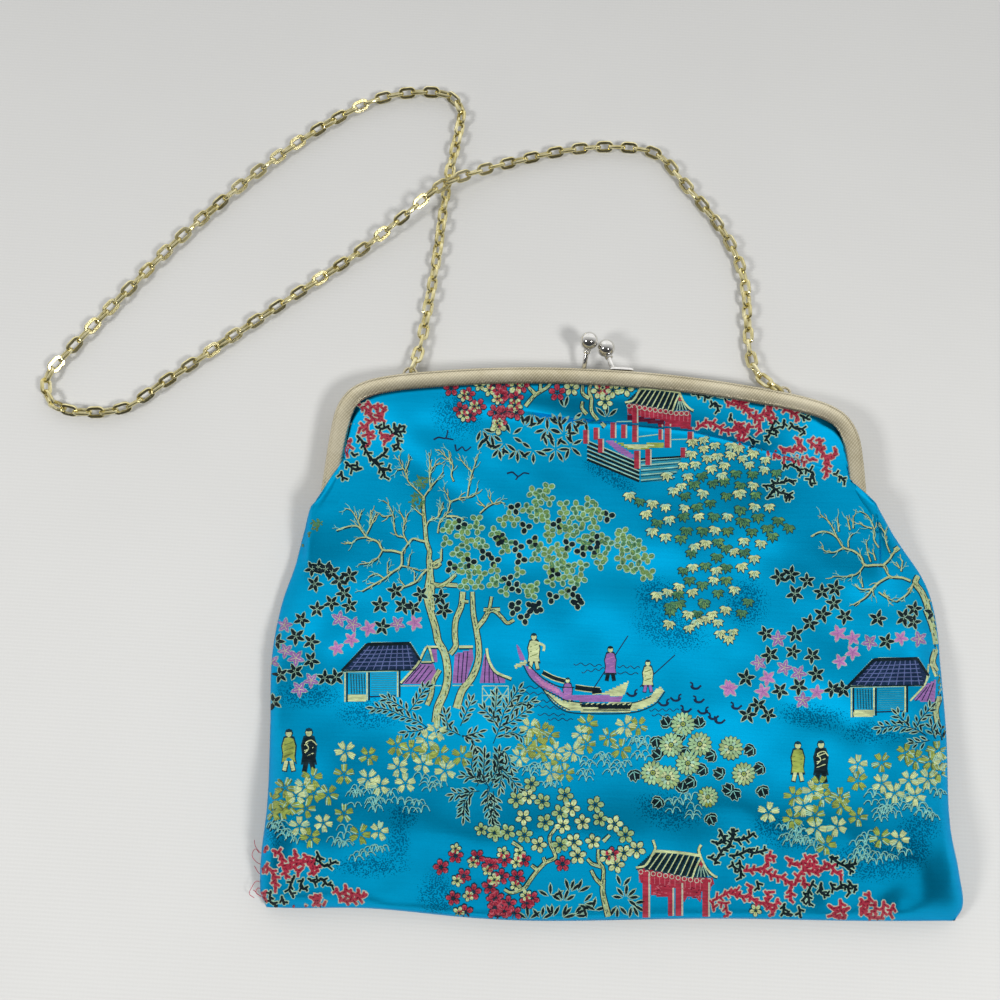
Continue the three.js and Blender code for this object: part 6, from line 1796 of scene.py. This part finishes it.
def link(a, b, roll, wire=1.32, width=4.4):
    """One drawn-wire link with filed sides, between two joints."""
    pitch = np.linalg.norm(b - a)
    length = pitch + 2 * wire - 0.36
    x = (b - a) / pitch
    up = np.array((0, 0, 1.0))
    y = np.cross(up, x)
    y /= np.linalg.norm(y)
    z = np.cross(x, y)
    q = math.radians(roll)
    y, z = y * math.cos(q) + z * math.sin(q), -y * math.sin(q) + z * math.cos(q)
    r = width / 2 - wire / 2
    half = length / 2 - wire / 2 - r
    ang = np.linspace(-math.pi / 2, math.pi / 2, 9)
    loop = [(half + r * math.cos(t), r * math.sin(t)) for t in ang] + [(-half - r * math.cos(t), -r * math.sin(t)) for t in ang]
    loop = np.array(loop)
    nrm = np.roll(loop, -1, 0) - np.roll(loop, 1, 0)
    nrm /= np.linalg.norm(nrm, axis=1, keepdims=True)
    nrm = np.stack([nrm[:, 1], -nrm[:, 0]], -1)
    h = wire / 2
    sec = [(h, 0.28 * h), (0.62 * h, 0.86 * h), (-0.62 * h, 0.86 * h), (-h, 0.28 * h), (-h, -0.28 * h), (-0.62 * h, -0.86 * h),
           (0.62 * h, -0.86 * h), (h, -0.28 * h)]
    c = (a + b) / 2
    verts = []
    for (px, py), (nx, ny) in zip(loop, nrm):
        for u, v in sec:
            verts.append(c + x * (px + nx * u) + y * (py + ny * u) + z * v)
    m, k = len(loop), len(sec)
    faces = [(i * k + j, i * k + (j + 1) % k, ((i + 1) % m) * k + (j + 1) % k, ((i + 1) % m) * k + j) for i in range(m) for j in range(k)]
    return np.array(verts), faces


joints = chain_links()
links = []
for i in range(len(joints) - 1):
    ends = i in (0, len(joints) - 2)
    lean = 45 * smooth(min(i, len(joints) - 2 - i) / 6.0)
    roll = lean + (0 if i % 2 else 90)
    jitter = 0 if ends else rng.normal(0, 6)
    links.append(link(joints[i], joints[i + 1], roll + jitter))
chain = join_parts("chain_links", links, MAT_CHAIN)
outward(chain)
chain_edges = chain.modifiers.new("edges", "EDGE_SPLIT")
chain_edges.split_angle = math.radians(28)
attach(chain, "root")
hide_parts(*[f"chain_run_{i}" for i in range(1, 7)])


# ------------------------------------------------------------------ the clasp
def lathe(centre, axis, profile, sides=40):
    """Turned body: profile of (distance along the axis, radius)."""
    axis = np.asarray(axis, float) / np.linalg.norm(axis)
    u = np.cross(axis, (0, 0, 1.0))
    u /= np.linalg.norm(u)
    w = np.cross(axis, u)
    a = np.linspace(0, 2 * math.pi, sides, endpoint=False)
    verts, rings = [], []
    for d, r in profile:
        if r < 1e-6:
            rings.append([len(verts)] * sides)
            verts.append(centre + axis * d)
        else:
            rings.append(list(range(len(verts), len(verts) + sides)))
            verts += [centre + axis * d + r * (math.cos(t) * u + math.sin(t) * w) for t in a]
    faces = []
    for lo, hi in zip(rings[:-1], rings[1:]):
        for i in range(sides):
            q = [lo[i], lo[(i + 1) % sides], hi[(i + 1) % sides], hi[i]]
            q = [v for j, v in enumerate(q) if v not in q[:j]]
            if len(q) > 2:
                faces.append(tuple(q))
    return np.array(verts), faces


def clasp_arm(name, ball, bend, root, foot, node_name):
    ball, bend, root = (np.array(p, float) for p in (ball, bend, root))
    out = (ball - bend) / np.linalg.norm(ball - bend)
    R = 3.28
    k = np.linspace(0, math.pi, 25)
    prof = [(-R * math.cos(t), R * math.sin(t)) for t in k]
    prof[0], prof[-1] = (-R, 0), (R, 0)
    parts = [lathe(ball, out, prof)]
    collar = [(-R - 1.25, 0), (-R - 1.25, 1.05), (-R - 1.1, 1.3), (-R - 0.75, 1.42), (-R - 0.45, 1.3), (-R - 0.35, 1.12), (-R - 0.2, 1.3),
              (-R + 0.05, 1.5), (-R + 0.35, 1.42), (-R + 0.5, 1.2), (-R + 0.6, 0)]
    parts.append(lathe(ball, out, collar, 28))
    line = catmull([root - (0, 0.35, 0), root * 0.8 + bend * 0.2 + (0, 0.3, 0), bend * 0.75 + root * 0.25, bend + out * 1.2, ball - out * (R + 0.6)], 8)
    parts.append(tube(line, 0.9, 14))
    x0, x1, y0, y1, z0, z1 = foot
    a = np.linspace(0, 2 * math.pi, 28, endpoint=False)
    cx, cz, hx, hz = (x0 + x1) / 2, (z0 + z1) / 2, (x1 - x0) / 2, (z1 - z0) / 2
    ring = np.stack([cx + hx * np.sign(np.cos(a)) * np.abs(np.cos(a)) ** 0.45, cz + hz * np.sign(np.sin(a)) * np.abs(np.sin(a)) ** 0.6], -1)
    v, f = [], []
    for y, q in ((y0, 1.0), (y1 - 0.25, 1.0), (y1, 0.93)):
        v += [(cx + (r[0] - cx) * q, y, cz + (r[1] - cz) * q) for r in ring]
    m = len(ring)
    for lv in range(2):
        f += [(lv * m + i, lv * m + (i + 1) % m, (lv + 1) * m + (i + 1) % m, (lv + 1) * m + i) for i in range(m)]
    f += [tuple(range(m))[::-1], tuple(range(2 * m, 3 * m))]
    parts.append((np.array(v), f))
    ob = join_parts(name, parts, MAT_NICKEL)
    outward(ob)
    e = ob.modifiers.new("edges", "EDGE_SPLIT")
    e.split_angle = math.radians(40)
    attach(ob, "root")
    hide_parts(node_name)
    return ob


clasp_arm("clasp_ball_front", (2.7, 107.6, 8.0), (4.5, 101.2, 9.2), (5.2, 99.2, 9.3), (4.0, 12.8, 98.5, 99.4, 7.6, 10.9), "clasp_front")
clasp_arm("clasp_ball_back", (-3.7, 109.1, 10.2), (-4.7, 102.0, 6.2), (-5.0, 99.2, 4.1), (-8.4, -2.2, 98.5, 99.4, 2.6, 5.6), "clasp_back")

# ------------------------------------------------------------------ carried-over solids
for ob in bpy.data.objects:
    if ob.type == "MESH" and ob.name.startswith("hinge"):
        ob.data.materials.clear()
        ob.data.materials.append(MAT_FRAME)

# ------------------------------------------------------------------ table, camera, light
def floor_plane():
    ob = mesh_object("table_paper", [(-900, -900, -0.15), (900, -900, -0.15), (900, 900, -0.15), (-900, 900, -0.15)], [(0, 1, 2, 3)], paper(), False)
    return ob


floor_plane()

cam_data = bpy.data.cameras.new("camera")
cam_data.lens = 37.62
cam_data.sensor_width = 36.0
cam_data.sensor_fit = "HORIZONTAL"
cam_data.clip_start = 0.01
cam_data.clip_end = 20
cam = bpy.data.objects.new("camera", cam_data)
bpy.context.scene.collection.objects.link(cam)
cam.location = Vector(CAM_AT * MM)
cam.rotation_euler = Vector((CAM_TO - CAM_AT) * MM).to_track_quat("-Z", "Y").to_euler()
bpy.context.scene.camera = cam


def area_light(name, at, to, size, power, colour=(1, 1, 1)):
    d = bpy.data.lights.new(name, "AREA")
    d.shape = "RECTANGLE"
    d.size, d.size_y = size
    d.energy = power
    d.color = colour
    ob = bpy.data.objects.new(name, d)
    bpy.context.scene.collection.objects.link(ob)
    ob.location = Vector(at)
    ob.rotation_euler = (Vector(to) - Vector(at)).to_track_quat("-Z", "Y").to_euler()
    return ob


METAL, CLOTHS = bpy.data.collections.new("metal"), bpy.data.collections.new("cloths")
for ob in list(bpy.data.objects):
    if ob.type == "MESH" and ob.name.startswith(("chain_links", "frame_front_band", "frame_back_band", "clasp_ball", "hinge")):
        METAL.objects.link(ob)
    if ob.type == "MESH" and ob.name.startswith(("bag_cloth", "silk")):
        CLOTHS.objects.link(ob)
LAMP_WHITE = (1.0, 0.985, 0.965)
for side, place, watts in (("left", (-0.62, -0.22, 0.64), 4.1), ("right", (0.42, -0.31, 0.70), 5.2)):
    # the cloth is lit by the broad lamp only; the hard sparkle of the same lamp falls on the metal
    area_light("lamp_" + side, place, (0.0, 0.12, 0), (0.17, 0.17), watts, LAMP_WHITE).visible_glossy = False
    spark = area_light("spark_" + side, place, (-0.02, 0.03, 0), (0.10, 0.10), 0.9, LAMP_WHITE)
    spark.visible_diffuse = False
    spark.light_linking.receiver_collection = METAL
# glow of the room on the slopes of the satin that face the viewer
glow = area_light("room_glow", (-0.18, -0.68, 0.47), (-0.1, -0.04, 0), (1.15, 0.84), 1.9, (1.0, 1.0, 1.0))
glow.visible_diffuse = False
glow.light_linking.receiver_collection = CLOTHS


def studio_world():
    """White backdrop behind and above the object, a darker room on the viewer's side."""
    w = bpy.data.worlds.new("studio")
    bpy.context.scene.world = w
    w.use_nodes = True
    nt = w.node_tree
    bg = nt.nodes["Background"]
    tc = nt.nodes.new("ShaderNodeTexCoord")
    sep = nt.nodes.new("ShaderNodeSeparateXYZ")
    nt.links.new(tc.outputs["Generated"], sep.inputs[0])
    half = maths(nt, "ADD", maths(nt, "MULTIPLY", sep.outputs["Y"], 0.5), 0.5)
    col = ramp(nt, half, [(x, (v, v, v * 1.01)) for x, v in ((0.0, 0.05), (0.15, 0.07), (0.30, 0.12), (0.40, 0.27), (0.475, 0.40), (0.55, 0.55), (0.60, 0.61), (0.65, 0.66), (0.70, 0.77), (0.75, 1.02), (0.83, 1.16), (1.0, 1.0))])
    nt.links.new(col, bg.inputs["Color"])
    bg.inputs["Strength"].default_value = 1.0


studio_world()
bpy.context.scene.view_settings.view_transform = "Standard"
